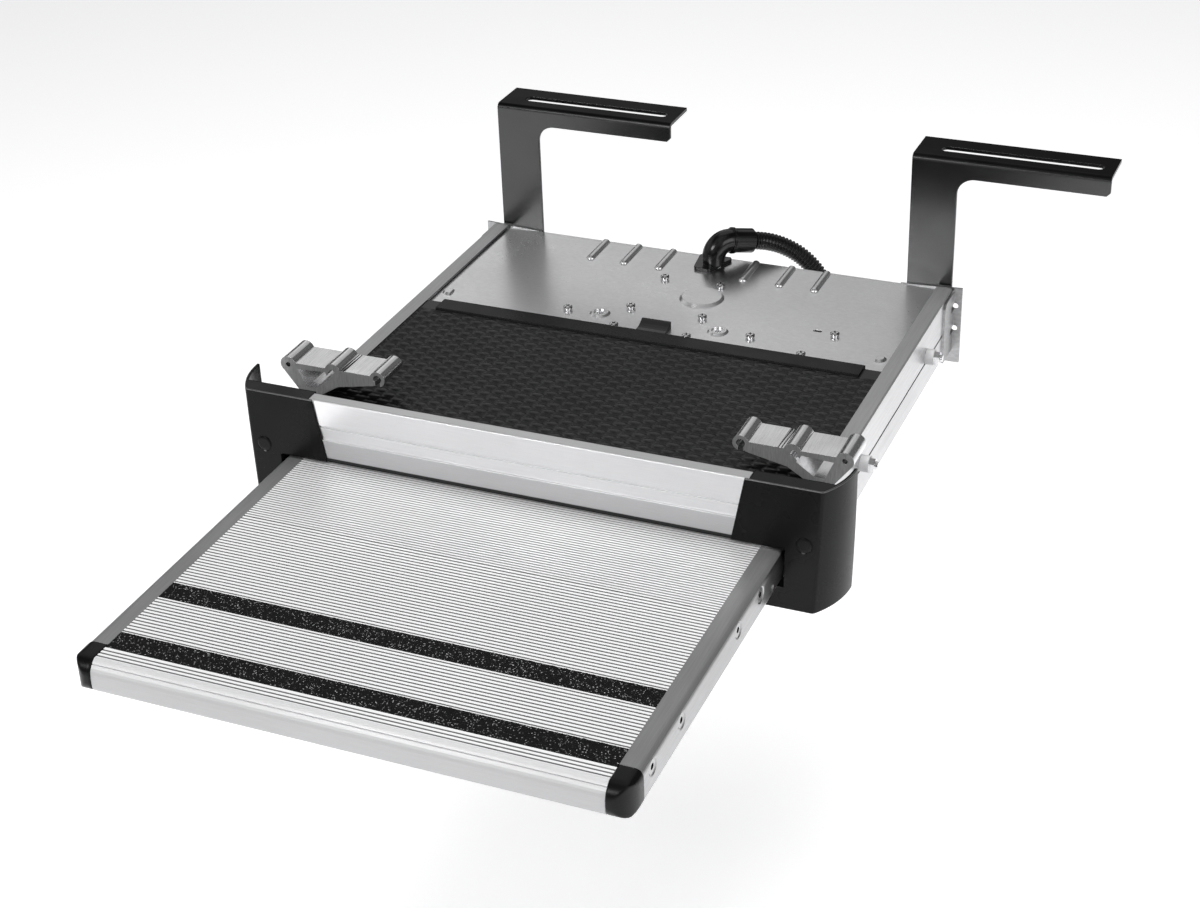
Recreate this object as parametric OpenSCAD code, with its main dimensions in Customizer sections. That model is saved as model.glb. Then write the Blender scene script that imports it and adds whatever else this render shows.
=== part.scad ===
// Pull out entrance step for a caravan, drawn with the tread slid out.
// Lengths are in millimetres, X to the right, Y to the rear, Z up.
// Inside this file x = 0 is the midline, z = 0 is the top of the tread and
// y = 0 lies 32 mm behind the fascia. placed() moves all of it so that the
// origin is the middle of the two hanging slots.

/* [Tread] */
// Width of the tread over its two side arms
tread_w = 400; // [340:5:460]
// Height of a side arm
arm_h = 23.6; // [22:0.2:25]
// Width of a side arm
arm_w = 16; // [14:0.5:18]
// Wall of a side arm
arm_wall = 2.5; // [2:0.25:3.5]
// Radius along the outer top edge of a side arm
arm_edge_r = 6; // [3:0.5:8]
// Distance of the nose from the fascia with the tread out
tread_reach = 290; // [280:2:320]
// Length of the front plank, nose to joint
front_plank_l = 201.5; // [190:0.5:210]
// Thickness of the planks
plank_t = 14; // [13:0.5:15]
// Wall of the planks
plank_wall = 2.4; // [2:0.2:3]
// Depth of the grooves between the ribs
groove_d = 0.9; // [0.5:0.1:1.2]
// Width of the grooves between the ribs
groove_w = 1.5; // [1:0.1:2]
// Spacing of the ribs on the front plank
front_pitch = 3.45; // [3:0.05:4]
// Spacing of the ribs on the rear plank
rear_pitch = 2.98; // [2.5:0.02:3.6]
// Depth of one grip strip, front to back
strip_w = 18.8; // [14:0.2:20]
// Thickness of a grip strip
strip_t = 1; // [0.9:0.1:1.2]
// Distance of the front grip strip from the nose
strip_inset = 22.5; // [20:0.5:24]
// Bare stretch between the two grip strips
strip_gap = 45.4; // [40:0.2:50]
// Length of a nose cap on its arm
cap_l = 27; // [25:0.5:30]
// How far the arms stay behind the fascia
arm_overlap = 107; // [100:1:112]
// Slide distance of the tread
travel = 260; // [200:1:260]

/* [Housing] */
// Depth of the housing behind the fascia
housing_d = 408; // [406:1:430]
// Height of the top plate's upper face over the tread
plate_z = 17.5; // [17:0.1:18]
// Thickness of the top plate
plate_t = 2; // [1.5:0.25:2]
// Height of the rails' top over the tread
rail_top_z = 20.3; // [20:0.1:21]
// Depth of the rails' foot below the tread
rail_foot_z = -36.8; // [-40:0.2:-36]
// Gap between an arm and the rail's web
slide_gap = 9.8; // [9:0.1:11]
// Wall of the rails
rail_wall = 3.5; // [3:0.25:4]
// Width of the rails' top flange
rail_flange_w = 13.7; // [12:0.1:14]
// Thickness of the mat
mat_t = 2; // [1.5:0.25:2.5]
// Distance of the mat's rear edge from the plate's rear edge
mat_setback = 163.4; // [163:0.2:180]

/* [Fascia and covers] */
// Height of the fascia's top over the tread
fascia_top_z = 52.8; // [45:0.2:60]
// Wall of the fascia
fascia_wall = 2.6; // [2:0.2:3.5]
// Depth of the fascia's top lip
fascia_lip = 9.4; // [8:0.2:12]
// How far the end covers stand out beside the tread
cover_out = 41.5; // [38:0.5:46]
// Wall of the end covers
cover_wall = 3; // [2.5:0.25:3.5]
// Depth of the end covers below the tread
cover_foot_z = -45.5; // [-52:0.5:-42]
// Radius of the end covers' curved side
cover_r = 66; // [60:1:75]
// Radius of the round plugs
plug_r = 6; // [5:0.25:7]

/* [Hanging brackets] */
// Height of the brackets' top over the tread
bracket_top_z = 135.2; // [110:0.2:160]
// Width of a bracket's leg
leg_w = 38.8; // [34:0.2:44]
// Length of a bracket's arm
bracket_l = 164; // [150:1:180]
// Height of the bracket's front flange
bracket_web_h = 16.7; // [14:0.1:22]
// Depth of the bracket's top flange
bracket_flange_d = 41.6; // [36:0.2:48]
// Sheet thickness of the brackets
bracket_t = 3; // [2.5:0.25:4]
// Radius inside the bracket's corner
bracket_corner_r = 15; // [8:0.5:20]
// Distance between the two brackets
bracket_pitch = 378.6; // [340:0.2:440]
// Left bracket's leg edge left of the midline
bracket_left_x = 205.9; // [200:0.1:208]
// Length of the hanging slot
slot_l = 135; // [110:1:140]
// Width of the hanging slot
slot_w = 10.5; // [8.5:0.5:12.5]
// Distance of the slot from the arm's free end
slot_end = 9.5; // [8:0.5:14]

/* [Ear plates] */
// How far the ears stand out beside the rails
ear_out = 8.2; // [8:0.1:12]
// Sheet thickness of ears and rear panel
sheet_t = 2; // [1.5:0.25:2.5]
// Radius of the ear holes
ear_hole_r = 2.8; // [2:0.1:3]
// Distance between the two holes of an ear
ear_hole_gap = 20.8; // [16:0.2:26]
// Distance of the ears' foot below the tread
ear_foot_z = -49.6; // [-56:0.2:-46]

/* [Adapter blocks] */
// Length of the sawn adapter blocks
block_l = 30; // [20:1:40]
// Radius of the three bosses
boss_r = 6.4; // [6:0.1:7]
// Radius of the outer boss hole
boss_hole_r = 2; // [1.5:0.1:2.5]
// Distance of the blocks behind the fascia
block_setback = 58; // [50:1:120]

/* [Drive] */
// Pitch radius of the belt pulleys
pulley_r = 13.3; // [12:0.1:13.5]
// Thickness of the drive belt
belt_t = 2; // [1.5:0.1:2.2]
// Height of the drive belt
belt_h = 7; // [5:0.5:7.4]
// Radius of the drive shaft
shaft_r = 4; // [3:0.25:5]
// Radius of the motor can
motor_r = 17; // [14:0.5:17.5]
// Length of the motor can
motor_l = 62; // [50:1:80]
// Radius of the worm wheel
wheel_r = 14; // [12:0.25:14]
// Radius of the worm
worm_r = 5; // [4:0.25:5.5]

/* [Conduit] */
// Outer radius of the ribbed hose
hose_r = 8; // [7:0.25:8.5]
// Bore radius of the ribbed hose
hose_bore_r = 6; // [5:0.25:6.2]
// Depth of the hose's ribs
rib_d = 1.1; // [0.8:0.1:1.4]
// Number of ribs on the hose
hose_ribs = 72; // [60:2:150]
// Outer radius of the elbow
elbow_r = 10.2; // [9.8:0.1:11]

/* [Fasteners] */
// Head radius of the arm screws
arm_screw_r = 5.5; // [5:0.25:6.5]
// Shank radius of the arm screws
arm_shank_r = 2.4; // [2:0.1:2.6]
// Head radius of the plate screws
pan_r = 3.7; // [3:0.1:4.2]
// Shank radius of the plate screws
pan_shank_r = 1.9; // [1.5:0.1:2]
// Head height of the plate screws
pan_h = 2.6; // [2:0.1:3.2]
// Shank radius of the bracket bolts
bolt_r = 4; // [3:0.25:4.5]

/* [Hidden] */
$fn = 48;

// running gap between sliding pieces, and the small gap of fitted ones
run_gap = 0.3;
fit_gap = 0.1;

// places along Y
fascia_y = -32;
nose_y = fascia_y - tread_reach;
joint_y = nose_y + front_plank_l;
rear_plank_end = 2;
crossbar_d = 14;
crossbar_end = rear_plank_end + crossbar_d;
cap_rear_y = nose_y + cap_l - 1.4;
arm_end_y = fascia_y + arm_overlap;
rear_y = fascia_y + housing_d;
fascia_back_y = fascia_y + fascia_wall + 1;
plate_front_y = fascia_back_y;
mat_rear_y = rear_y - mat_setback;
ear_y = rear_y + sheet_t;
bracket_y = ear_y + sheet_t;

// places along X
half_w = tread_w / 2;
plank_x = half_w - arm_w;
rail_in_x = half_w + slide_gap;
rail_out_x = rail_in_x + rail_wall;
rail_lip_x = rail_out_x - rail_flange_w;
plate_x = rail_lip_x + 4.4;
ledge_t = 2.5;
ledge_z = plate_z - plate_t;
slot_roof_z = plate_z + 0.7;
foot_in_x = half_w - arm_w + 2;

// the middle of the two hanging slots, which is the origin of the part
slot_mid_x = bracket_l - slot_end - slot_l / 2;
left_slot_x = -bracket_left_x + slot_mid_x;
mount_x = left_slot_x + bracket_pitch / 2;
mount_y = bracket_y + 19.5;

module placed() {
    translate([-mount_x, -mount_y, -bracket_top_z]) children();
}

module on_side(side) {
    mirror([side < 0 ? 1 : 0, 0, 0]) children();
}

module on_both() {
    children();
    mirror([1, 0, 0]) children();
}

// a (y, z) outline pushed along X
module along_x(x0, x1) {
    translate([x0, 0, 0]) rotate([90, 0, 90]) linear_extrude(x1 - x0) children();
}

// an (x, z) outline pushed along Y
module along_y(y0, y1) {
    translate([0, y1, 0]) rotate([90, 0, 0]) linear_extrude(y1 - y0) children();
}

// an (x, y) outline pushed along Z
module along_z(z0, z1) {
    translate([0, 0, z0]) linear_extrude(z1 - z0) children();
}

module rod_x(x0, x1, y, z, r) {
    translate([x0, y, z]) rotate([0, 90, 0]) cylinder(h = x1 - x0, r = r);
}

module rod_y(x, y0, y1, z, r) {
    translate([x, y1, z]) rotate([90, 0, 0]) cylinder(h = y1 - y0, r = r);
}

module rod_z(x, y, z0, z1, r) {
    translate([x, y, z0]) cylinder(h = z1 - z0, r = r);
}

module block(x0, x1, y0, y1, z0, z1) {
    translate([x0, y0, z0]) cube([x1 - x0, y1 - y0, z1 - z0]);
}

function arc(cx, cy, r, a0, a1, n) =
    [for (i = [0 : n]) let (a = a0 + (a1 - a0) * i / n) [cx + r * cos(a), cy + r * sin(a)]];

// Tread

// the ribbed top line of a plank: grooves from y0 on, at even steps
function groove(y) = [
    [y - groove_w / 2, 0],
    [y - groove_w / 2 + 0.3, -groove_d],
    [y + groove_w / 2 - 0.3, -groove_d],
    [y + groove_w / 2, 0]
];
function grooves(y0, y1, pitch) =
    [for (k = [0 : floor((y1 - y0 - groove_w) / pitch)]) each groove(y0 + groove_w / 2 + k * pitch)];

strip1_y = nose_y + strip_inset;
strip2_y = strip1_y + strip_w + strip_gap;
strip_gap_y = 0.2;
function land(y) = [
    [y - strip_gap_y, 0],
    [y - strip_gap_y, -groove_d],
    [y + strip_w + strip_gap_y, -groove_d],
    [y + strip_w + strip_gap_y, 0]
];

// the front plank's ribs are counted from its rear edge, which is a groove too
joint_gap = 0.25;
joint_groove = 1.6;
front_ribs_end = joint_y - joint_groove - (front_pitch - groove_w);
front_ribs_room = front_ribs_end - groove_w - (strip2_y + strip_w + 1);
front_ribs_y = front_ribs_end - groove_w - front_pitch * floor(front_ribs_room / front_pitch);

// screws through the arms: distance along Y
screw_z = -8.5;
front_screws = [nose_y + 40.5, nose_y + 90.5, joint_y - 4.5];
rear_screws = [joint_y + 41];
crossbar_screws = [rear_plank_end + crossbar_d / 2];
plank_screws = concat(front_screws, rear_screws, crossbar_screws);
screw_web = 4.5;
screw_grip = 18;
head_h = 2.6;
head_sink = 0.6;
head_slope = (arm_screw_r - arm_shank_r) / (head_h - head_sink);

nose_slope = 9.6;
nose_face = 2;
nose_lip = 18;
nose_foot_r = 5;
// rounded front of the nose with a fine groove: distance behind nose_y, and height
nose_curve = [[nose_face, -12.4], [2.4, -9], [3.1, -6.8], [4, -5.2], [5.4, -3.4], [5.6, -3.9],
              [6.1, -3.5], [6.1, -2.7], [7.2, -1.5], [8.3, -0.6], [nose_slope, 0]];

module front_plank_outline() {
    polygon(concat(
        [[nose_y + nose_lip, -arm_h]],
        arc(nose_y + nose_face + nose_foot_r, -arm_h + nose_foot_r, nose_foot_r, 270, 180, 6),
        [for (p = nose_curve) [nose_y + p[0], p[1]]],
        grooves(nose_y + nose_slope + 1.9, strip1_y - 1.5, front_pitch),
        land(strip1_y),
        grooves(strip1_y + strip_w + 1, strip2_y - 1, front_pitch),
        land(strip2_y),
        grooves(front_ribs_y, joint_y - joint_groove, front_pitch),
        [[joint_y - joint_groove, 0], [joint_y - joint_groove + 0.3, -groove_d],
         [joint_y - joint_gap, -groove_d], [joint_y - joint_gap, -plank_t],
         [nose_y + nose_lip + plank_wall, -plank_t],
         [nose_y + nose_lip + plank_wall, -plank_t - 2],
         [nose_y + nose_face + plank_wall, -plank_t - 2],
         [nose_y + nose_face + plank_wall, -arm_h + plank_wall],
         [nose_y + nose_lip, -arm_h + plank_wall]]
    ));
}

module plank_hollow(y0, y1) {
    translate([y0, -plank_t + plank_wall]) square([y1 - y0, plank_t - 2 * plank_wall - groove_d]);
}

module plank_ports(ys) {
    on_both() for (y = ys) rod_x(plank_x - screw_grip - 1, plank_x + 1, y, screw_z, arm_shank_r + fit_gap);
}

module front_plank() {
    first_web = nose_y + nose_slope + plank_wall;
    webs = concat([first_web - screw_web], front_screws);
    color("gainsboro") placed() difference() {
        along_x(-plank_x, plank_x) difference() {
            front_plank_outline();
            for (i = [0 : len(webs) - 2])
                plank_hollow(webs[i] + screw_web, webs[i + 1] - screw_web);
        }
        plank_ports(front_screws);
    }
}

module rear_plank() {
    webs = concat([joint_y + plank_wall - screw_web], rear_screws,
                  [rear_plank_end - plank_wall + screw_web]);
    color("silver") placed() difference() {
        along_x(-plank_x, plank_x) difference() {
            polygon(concat(
                [[joint_y, -plank_t], [joint_y, 0]],
                grooves(joint_y + 1.6, rear_plank_end - 1, rear_pitch),
                [[rear_plank_end, 0], [rear_plank_end, -plank_t]]
            ));
            for (i = [0 : len(webs) - 2])
                plank_hollow(webs[i] + screw_web, webs[i + 1] - screw_web);
        }
        plank_ports(rear_screws);
    }
}

// side arm outline seen from the front, right hand side
arm_in_r = 1.5;
module arm_outline() {
    polygon(concat(
        [[plank_x, 0], [plank_x, -arm_h]],
        arc(half_w - arm_in_r, -arm_h + arm_in_r, arm_in_r, 270, 360, 4),
        arc(half_w - arm_edge_r, -arm_edge_r, arm_edge_r, 0, 90, 8)
    ));
}
module arm_hollow() {
    r = max(arm_edge_r - arm_wall, 1);
    polygon(concat(
        [[plank_x + arm_wall, -arm_wall], [plank_x + arm_wall, -arm_h + arm_wall],
         [half_w - arm_wall, -arm_h + arm_wall]],
        arc(half_w - arm_wall - r, -arm_wall - r, r, 0, 90, 6)
    ));
}

stop_screw_y = joint_y + 64.5;
stop_screw_z = -arm_h + 5.4;
stop_screw_r = 3;

module side_arm(side) {
    placed() on_side(side) difference() {
        along_y(cap_rear_y, arm_end_y) difference() {
            arm_outline();
            arm_hollow();
        }
        for (y = plank_screws) {
            rod_x(plank_x - 1, half_w + 1, y, screw_z, arm_shank_r + fit_gap);
            translate([half_w - head_h - fit_gap, y, screw_z]) rotate([0, 90, 0])
                cylinder(h = head_h + 1, r1 = arm_shank_r + fit_gap,
                         r2 = arm_shank_r + fit_gap + head_slope * (head_h + 1));
        }
        rod_x(half_w - arm_wall - 1, half_w + 1, stop_screw_y, stop_screw_z, stop_screw_r + fit_gap);
    }
}
module left_arm() { color("darkgray") side_arm(-1); }
module right_arm() { color("darkgray") side_arm(1); }

// a six pointed socket, as two crossed triangles
module star_socket(r) {
    for (a = [0, 30]) rotate(a) circle(r = r, $fn = 6);
}

module arm_screws() {
    socket_r = 2.4;
    socket_d = 2;
    color("white") placed() on_both() {
        for (y = plank_screws) difference() {
            union() {
                translate([half_w - head_h, y, screw_z]) rotate([0, 90, 0])
                    cylinder(h = head_h - head_sink, r1 = arm_shank_r, r2 = arm_screw_r);
                rod_x(plank_x - screw_grip, half_w - head_h + 0.1, y, screw_z, arm_shank_r);
            }
            translate([half_w - head_sink - socket_d, y, screw_z]) rotate([0, 90, 0])
                linear_extrude(socket_d + 1) star_socket(socket_r);
        }
        difference() {
            union() {
                rod_x(half_w - arm_wall, half_w - 0.8, stop_screw_y, stop_screw_z, stop_screw_r);
                rod_x(plank_x + arm_wall, half_w - arm_wall + 0.1, stop_screw_y, stop_screw_z,
                      stop_screw_r - 0.8);
            }
            translate([half_w - 2, stop_screw_y, stop_screw_z]) rotate([0, 90, 0])
                cylinder(h = 2, r = 1.6, $fn = 6);
        }
    }
}

// rounded nose cap, the overlap of three rounded outlines
cap_proud = 0.4;
cap_front_y = nose_y + nose_face - 1.2;
cap_corner_w = 13;
cap_corner_l = 20;
cap_inner_x = plank_x + 0.02;
module nose_cap(side) {
    out_x = half_w + cap_proud;
    low_z = -arm_h - 1.6;
    top_z = cap_proud;
    spigot = 10;
    placed() on_side(side) {
        intersection() {
            along_z(low_z, top_z) polygon(concat(
                [[cap_inner_x, cap_rear_y], [cap_inner_x, cap_front_y]],
                [for (a = [270 : 7.5 : 360]) [out_x - cap_corner_w * (1 - cos(a)),
                                              cap_front_y + cap_corner_l * (1 + sin(a))]],
                [[out_x, cap_rear_y]]));
            along_x(cap_inner_x, out_x) polygon(concat(
                [[cap_rear_y, top_z], [cap_rear_y, low_z + 1.2]],
                arc(cap_front_y + 10, low_z + 10, 10, 270, 180, 10),
                arc(cap_front_y + 11, top_z - 11, 11, 180, 90, 10)));
            along_y(cap_front_y, cap_rear_y) polygon(concat(
                [[cap_inner_x, top_z], [cap_inner_x, low_z]],
                arc(out_x - 4, low_z + 4, 4, 270, 360, 6),
                arc(out_x - arm_edge_r, top_z - arm_edge_r, arm_edge_r, 0, 90, 8)));
        }
        inset = arm_wall + fit_gap;
        block(plank_x + inset, half_w - arm_edge_r, cap_rear_y - 1, cap_rear_y + spigot,
              -arm_h + inset, -arm_wall - fit_gap - 1);
    }
}
module left_nose_cap() { color("black") nose_cap(-1); }
module right_nose_cap() { color("black") nose_cap(1); }

module grip_strip(y) {
    placed() block(-plank_x + fit_gap, plank_x - fit_gap, y, y + strip_w, -groove_d, -groove_d + strip_t);
}
module front_grip_strip() { color("black") grip_strip(strip1_y); }
module rear_grip_strip() { color("black") grip_strip(strip2_y); }

crossbar_top = -1;
module rear_crossbar() {
    color("silver") placed() difference() {
        block(-plank_x, plank_x, rear_plank_end, crossbar_end, -plank_t, crossbar_top);
        plank_ports(crossbar_screws);
        on_both() block(8 + screw_grip, plank_x - screw_grip - 6, rear_plank_end + plank_wall,
                        crossbar_end - plank_wall, -plank_t + plank_wall, crossbar_top - plank_wall);
    }
}

// plastic shoes on the rear ends of the arms, running in the rails
shoe_l = 34;
shoe_back = 3;
module slide_shoes() {
    color("dimgray") placed() on_both() difference() {
        block(plank_x + 3, rail_in_x - run_gap, arm_end_y + shoe_back - shoe_l, arm_end_y + shoe_back,
              rail_foot_z + rail_wall + run_gap, ledge_z - ledge_t - run_gap);
        along_y(arm_end_y - shoe_l, arm_end_y) arm_outline();
        // groove that clears the rail bolts' heads
        block(rail_in_x - 3.5, rail_in_x, arm_end_y - shoe_l, arm_end_y + shoe_back + 1,
              rail_bolt_z - rail_bolt_r - 3, rail_bolt_z + rail_bolt_r + 3);
    }
}

// Housing

rail_front_y = fascia_back_y + 9;
rail_bolt_ys = [rail_front_y + 132, rear_y - 78];
rail_bolt_z = -6;
rail_bolt_r = 3;
groove_z = -11.2;
ledge_in_x = half_w - 11;

// rail outline seen from the front, right hand side: web, top flange, the
// ledge that carries the plate, and the foot that carries the slides
module rail_outline() {
    bevel = 1.2;
    difference() {
        union() {
            polygon([
                [rail_in_x, rail_foot_z], [rail_out_x - 1, rail_foot_z],
                [rail_out_x, rail_foot_z + 11], [rail_out_x, rail_top_z - bevel],
                [rail_out_x - bevel, rail_top_z], [rail_in_x, rail_top_z]
            ]);
            translate([rail_lip_x, slot_roof_z])
                square([rail_flange_w - bevel, rail_top_z - slot_roof_z]);
            translate([ledge_in_x, ledge_z - ledge_t]) square([rail_in_x - ledge_in_x + 1, ledge_t]);
            translate([foot_in_x, rail_foot_z]) square([rail_in_x - foot_in_x + 1, rail_wall - 0.1]);
        }
        polygon([[rail_out_x + 1, groove_z + 1], [rail_out_x - 1, groove_z + 1],
                 [rail_out_x - 1, groove_z - 1], [rail_out_x + 1, groove_z - 1]]);
    }
}

module rail(side) {
    placed() on_side(side) difference() {
        along_y(rail_front_y, rear_y) rail_outline();
        for (y = rail_bolt_ys) rod_x(rail_in_x - 1, rail_out_x + 1, y, rail_bolt_z, rail_bolt_r + fit_gap);
        rod_z(block_foot_x, block_screw_y, slot_roof_z - 1, rail_top_z + 1, foot_screw_r + fit_gap);
    }
}
module left_rail() { color("silver") rail(-1); }
module right_rail() { color("silver") rail(1); }

// bolts through the rails, with round spacers and hex nuts outside
module rail_bolts() {
    spacer_r = 6.5;
    spacer_l = 7;
    nut_r = 5.6;
    nut_h = 4.4;
    color("white") placed() on_both() for (y = rail_bolt_ys) {
        difference() {
            rod_x(rail_out_x, rail_out_x + spacer_l, y, rail_bolt_z, spacer_r);
            rod_x(rail_out_x - 1, rail_out_x + spacer_l + 1, y, rail_bolt_z, rail_bolt_r + fit_gap);
        }
        translate([rail_out_x + spacer_l, y, rail_bolt_z]) rotate([0, 90, 0]) difference() {
            cylinder(h = nut_h, r = nut_r, $fn = 6);
            translate([0, 0, -1]) cylinder(h = nut_h + 2, r = rail_bolt_r + fit_gap);
        }
        rod_x(rail_in_x - 2, rail_out_x + spacer_l + nut_h + 2.2, y, rail_bolt_z, rail_bolt_r);
        rod_x(rail_in_x - 2.2, rail_in_x, y, rail_bolt_z, rail_bolt_r + 2);
    }
}

// features of the top plate: distance from the midline and from the rear edge
rib_xs = [38.7, 71.5, 103];
rib_r = 3.8;
rib_rise = 2.9;
rib_l = 36;
dome_x = 18;
dome_y = rear_y - 81;
dome_r = 19;
ring_x = 52.4;
ring_y = rear_y - 136;
ring_r = 8.7;
plate_screw_pairs = [[81, 137.5], [32, 117.5], [32, 155.2], [25.5, 55]];
box_screws = [[145, 112], [130, 155]];
lance_x = 190.5;
lance_y = rear_y - 140;
elbow_x = 5;
elbow_y = rear_y - 16;
cable_hole_r = 7;
dome_h = 2.4;
dome_slope = 2;
ring_h = 1.8;
ring_slope = 1.6;
ring_floor = 0.4;
ring_hole_r = 2.4;
lance_r = 6;
lance_h = 1.8;
// small slit beside the screws
slit_x = 129;
slit_inset = 108;
slit_y = rear_y - slit_inset;
slit_w = 7;
slit_d = 3;

module at_plate_screws() {
    for (p = plate_screw_pairs) on_both() translate([p[0], rear_y - p[1], 0]) children();
    for (p = box_screws) translate([p[0], rear_y - p[1], 0]) children();
}

module top_plate() {
    color("lightgray") placed() difference() {
        union() {
            block(-plate_x, plate_x, plate_front_y, rear_y, ledge_z, plate_z);
            intersection() {
                on_both() for (x = rib_xs) {
                    rod_y(x, rear_y - rib_l, rear_y, plate_z + rib_rise - rib_r, rib_r);
                    translate([x, rear_y - rib_l, plate_z + rib_rise - rib_r]) sphere(r = rib_r);
                }
                block(-plate_x, plate_x, plate_front_y, rear_y, ledge_z, plate_z + rib_rise + 1);
            }
            translate([dome_x, dome_y, plate_z])
                cylinder(h = dome_h, r1 = dome_r, r2 = dome_r - dome_slope);
            on_both() translate([ring_x, ring_y, plate_z])
                cylinder(h = ring_h, r1 = ring_r, r2 = ring_r - ring_slope);
            on_both() intersection() {
                translate([lance_x, lance_y, plate_z])
                    cylinder(h = lance_h, r1 = lance_r, r2 = lance_r - 2);
                block(lance_x - 2, lance_x + lance_r + 1, lance_y - lance_r - 1, lance_y + lance_r + 1,
                      plate_z - 1, plate_z + lance_h + 1);
            }
        }
        on_both() {
            rod_z(ring_x, ring_y, plate_z + ring_floor, plate_z + ring_h + 1, ring_r - 2 * ring_slope);
            rod_z(ring_x, ring_y, ledge_z - 1, plate_z + ring_h + 1, ring_hole_r);
        }
        at_plate_screws() rod_z(0, 0, ledge_z - 1, plate_z + 1, pan_shank_r + fit_gap);
        rod_z(elbow_x, elbow_y, ledge_z - 1, plate_z + 1, cable_hole_r);
        block(slit_x - slit_w / 2, slit_x + slit_w / 2, slit_y - slit_d / 2, slit_y + slit_d / 2,
              ledge_z - 1, plate_z + 1);
    }
}

// pan head screws that stand on short collars
pan_collar_h = 1.2;
pan_dome_h = 0.8;
cross_l = 4;
cross_w = 0.9;
cross_d = 1.4;
cross_turn = 20;
module plate_screws() {
    grip_z = ledge_z - drive_plate_t;
    seat_z = plate_z + pan_collar_h;
    top_z = seat_z + pan_h;
    color("white") placed() at_plate_screws() difference() {
        union() {
            rod_z(0, 0, grip_z, seat_z, pan_shank_r);
            rod_z(0, 0, plate_z, seat_z, pan_shank_r + 0.8);
            rod_z(0, 0, seat_z, top_z - pan_dome_h, pan_r);
            translate([0, 0, top_z - pan_dome_h]) cylinder(h = pan_dome_h, r1 = pan_r, r2 = pan_r - 1);
        }
        for (a = [0, 90]) rotate([0, 0, a + cross_turn])
            translate([-cross_l / 2, -cross_w / 2, top_z - cross_d]) cube([cross_l, cross_w, cross_d + 1]);
    }
}

module rubber_mat() {
    color("black") placed()
        block(-rail_lip_x + run_gap, rail_lip_x - run_gap, plate_front_y, mat_rear_y,
              plate_z, plate_z + mat_t);
}

// clamping bar over the mat's rear edge
bar_x = half_w - 15;
bar_front_y = mat_rear_y - 15.2;
bar_rear_y = mat_rear_y + 3.6;
bar_t = 2;
module mat_strip() {
    z = plate_z + mat_t;
    color("black") placed() along_x(-bar_x, bar_x) polygon([
        [bar_front_y, z], [bar_front_y + 0.8, z + bar_t], [bar_rear_y - 1, z + bar_t],
        [bar_rear_y, z + bar_t - 1], [bar_rear_y, plate_z], [mat_rear_y, plate_z], [mat_rear_y, z]
    ]);
}

// pull tab behind the bar: a low floor that rises to a rounded rim
tab_x = 1.2;
tab_w = 25.5;
tab_l = 19.6;
tab_r = 3;
tab_rim_h = 5.8;
tab_floor_h = 2.2;
module mat_tab() {
    y0 = bar_rear_y;
    color("black") placed() translate([tab_x, y0, plate_z]) intersection() {
        along_x(-tab_w / 2, tab_w / 2) polygon([
            [0, 0], [0, tab_floor_h], [7, tab_floor_h - 0.2], [9.5, tab_floor_h + 0.3],
            [12, tab_floor_h + 1.3], [15.5, tab_rim_h - 0.5], [17, tab_rim_h],
            [18.6, tab_rim_h - 0.4], [tab_l, tab_rim_h - 1.6], [tab_l, 0]
        ]);
        along_z(0, tab_rim_h) hull() {
            translate([-tab_w / 2, 0]) square([tab_w, 1]);
            for (x = [tab_r - tab_w / 2, tab_w / 2 - tab_r]) translate([x, tab_l - tab_r]) circle(r = tab_r);
        }
    }
}

// Fascia, a profile pushed across; its front leans a little
fascia_foot_y = fascia_y - 2.2;
fascia_foot_z = 5.4;
function fascia_lean(z) =
    fascia_y + (fascia_foot_y - fascia_y) * (fascia_top_z - z) / (fascia_top_z - fascia_foot_z);

inner_top_x = half_w - 28.5;
inner_foot_x = half_w - 38;
fascia_x = inner_top_x + 3;
module front_fascia() {
    line_z = fascia_top_z - 21.8;
    step_z = fascia_top_z - 32;
    foot = fascia_foot_z;
    color("whitesmoke") placed() along_x(-fascia_x, fascia_x) polygon([
        [fascia_lean(foot), foot], [fascia_lean(step_z - 1) - 0.2, step_z - 1],
        [fascia_lean(step_z) + 0.9, step_z], [fascia_lean(line_z - 0.8) + 0.2, line_z - 0.8],
        [fascia_lean(line_z) + 1.1, line_z - 0.6], [fascia_lean(line_z) + 1.1, line_z + 0.6],
        [fascia_lean(line_z + 0.8), line_z + 0.8],
        [fascia_y, fascia_top_z - 0.8], [fascia_y + 0.8, fascia_top_z],
        [fascia_y + fascia_lip, fascia_top_z], [fascia_y + fascia_lip, fascia_top_z - 2],
        [fascia_back_y, fascia_top_z - 3.2], [fascia_back_y, ledge_z - 0.2],
        [fascia_back_y + 11, ledge_z - 0.2], [fascia_back_y + 11, ledge_z - 2.4],
        [fascia_back_y - 0.6, ledge_z - 2.4], [fascia_back_y - 1.2, foot]
    ]);
}

// black sealing lip under the fascia, clear of the ribs
module fascia_seal() {
    lip_y = fascia_foot_y + 0.6;
    lip_z = 0.5;
    back_y = fascia_back_y - 1.4;
    color("black") placed() along_x(-fascia_x, fascia_x) polygon([
        [lip_y, fascia_foot_z], [lip_y + 2, lip_z], [back_y, lip_z], [back_y, fascia_foot_z]
    ]);
}

// End covers
cover_x = half_w + cover_out;
window_x = half_w + 2.2;
window_top_z = 2.4;
window_foot_z = -29;
lining_t = 2;
lining_y = rail_front_y - 3;
cover_end_y = 6;
cover_front_y = fascia_y - 1.2;
cover_foot_y = cover_front_y - 4.2;
cover_flange_d = 13.4;
cover_boss_x = half_w + 16;
cover_boss_z = 8.5;
cover_boss_d = 9;
cover_screw_r = 2;
cover_centre_x = cover_x - cover_r;
function cover_lean(z) =
    cover_front_y + (cover_foot_y - cover_front_y) * (fascia_top_z - z) / (fascia_top_z - cover_foot_z);

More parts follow.
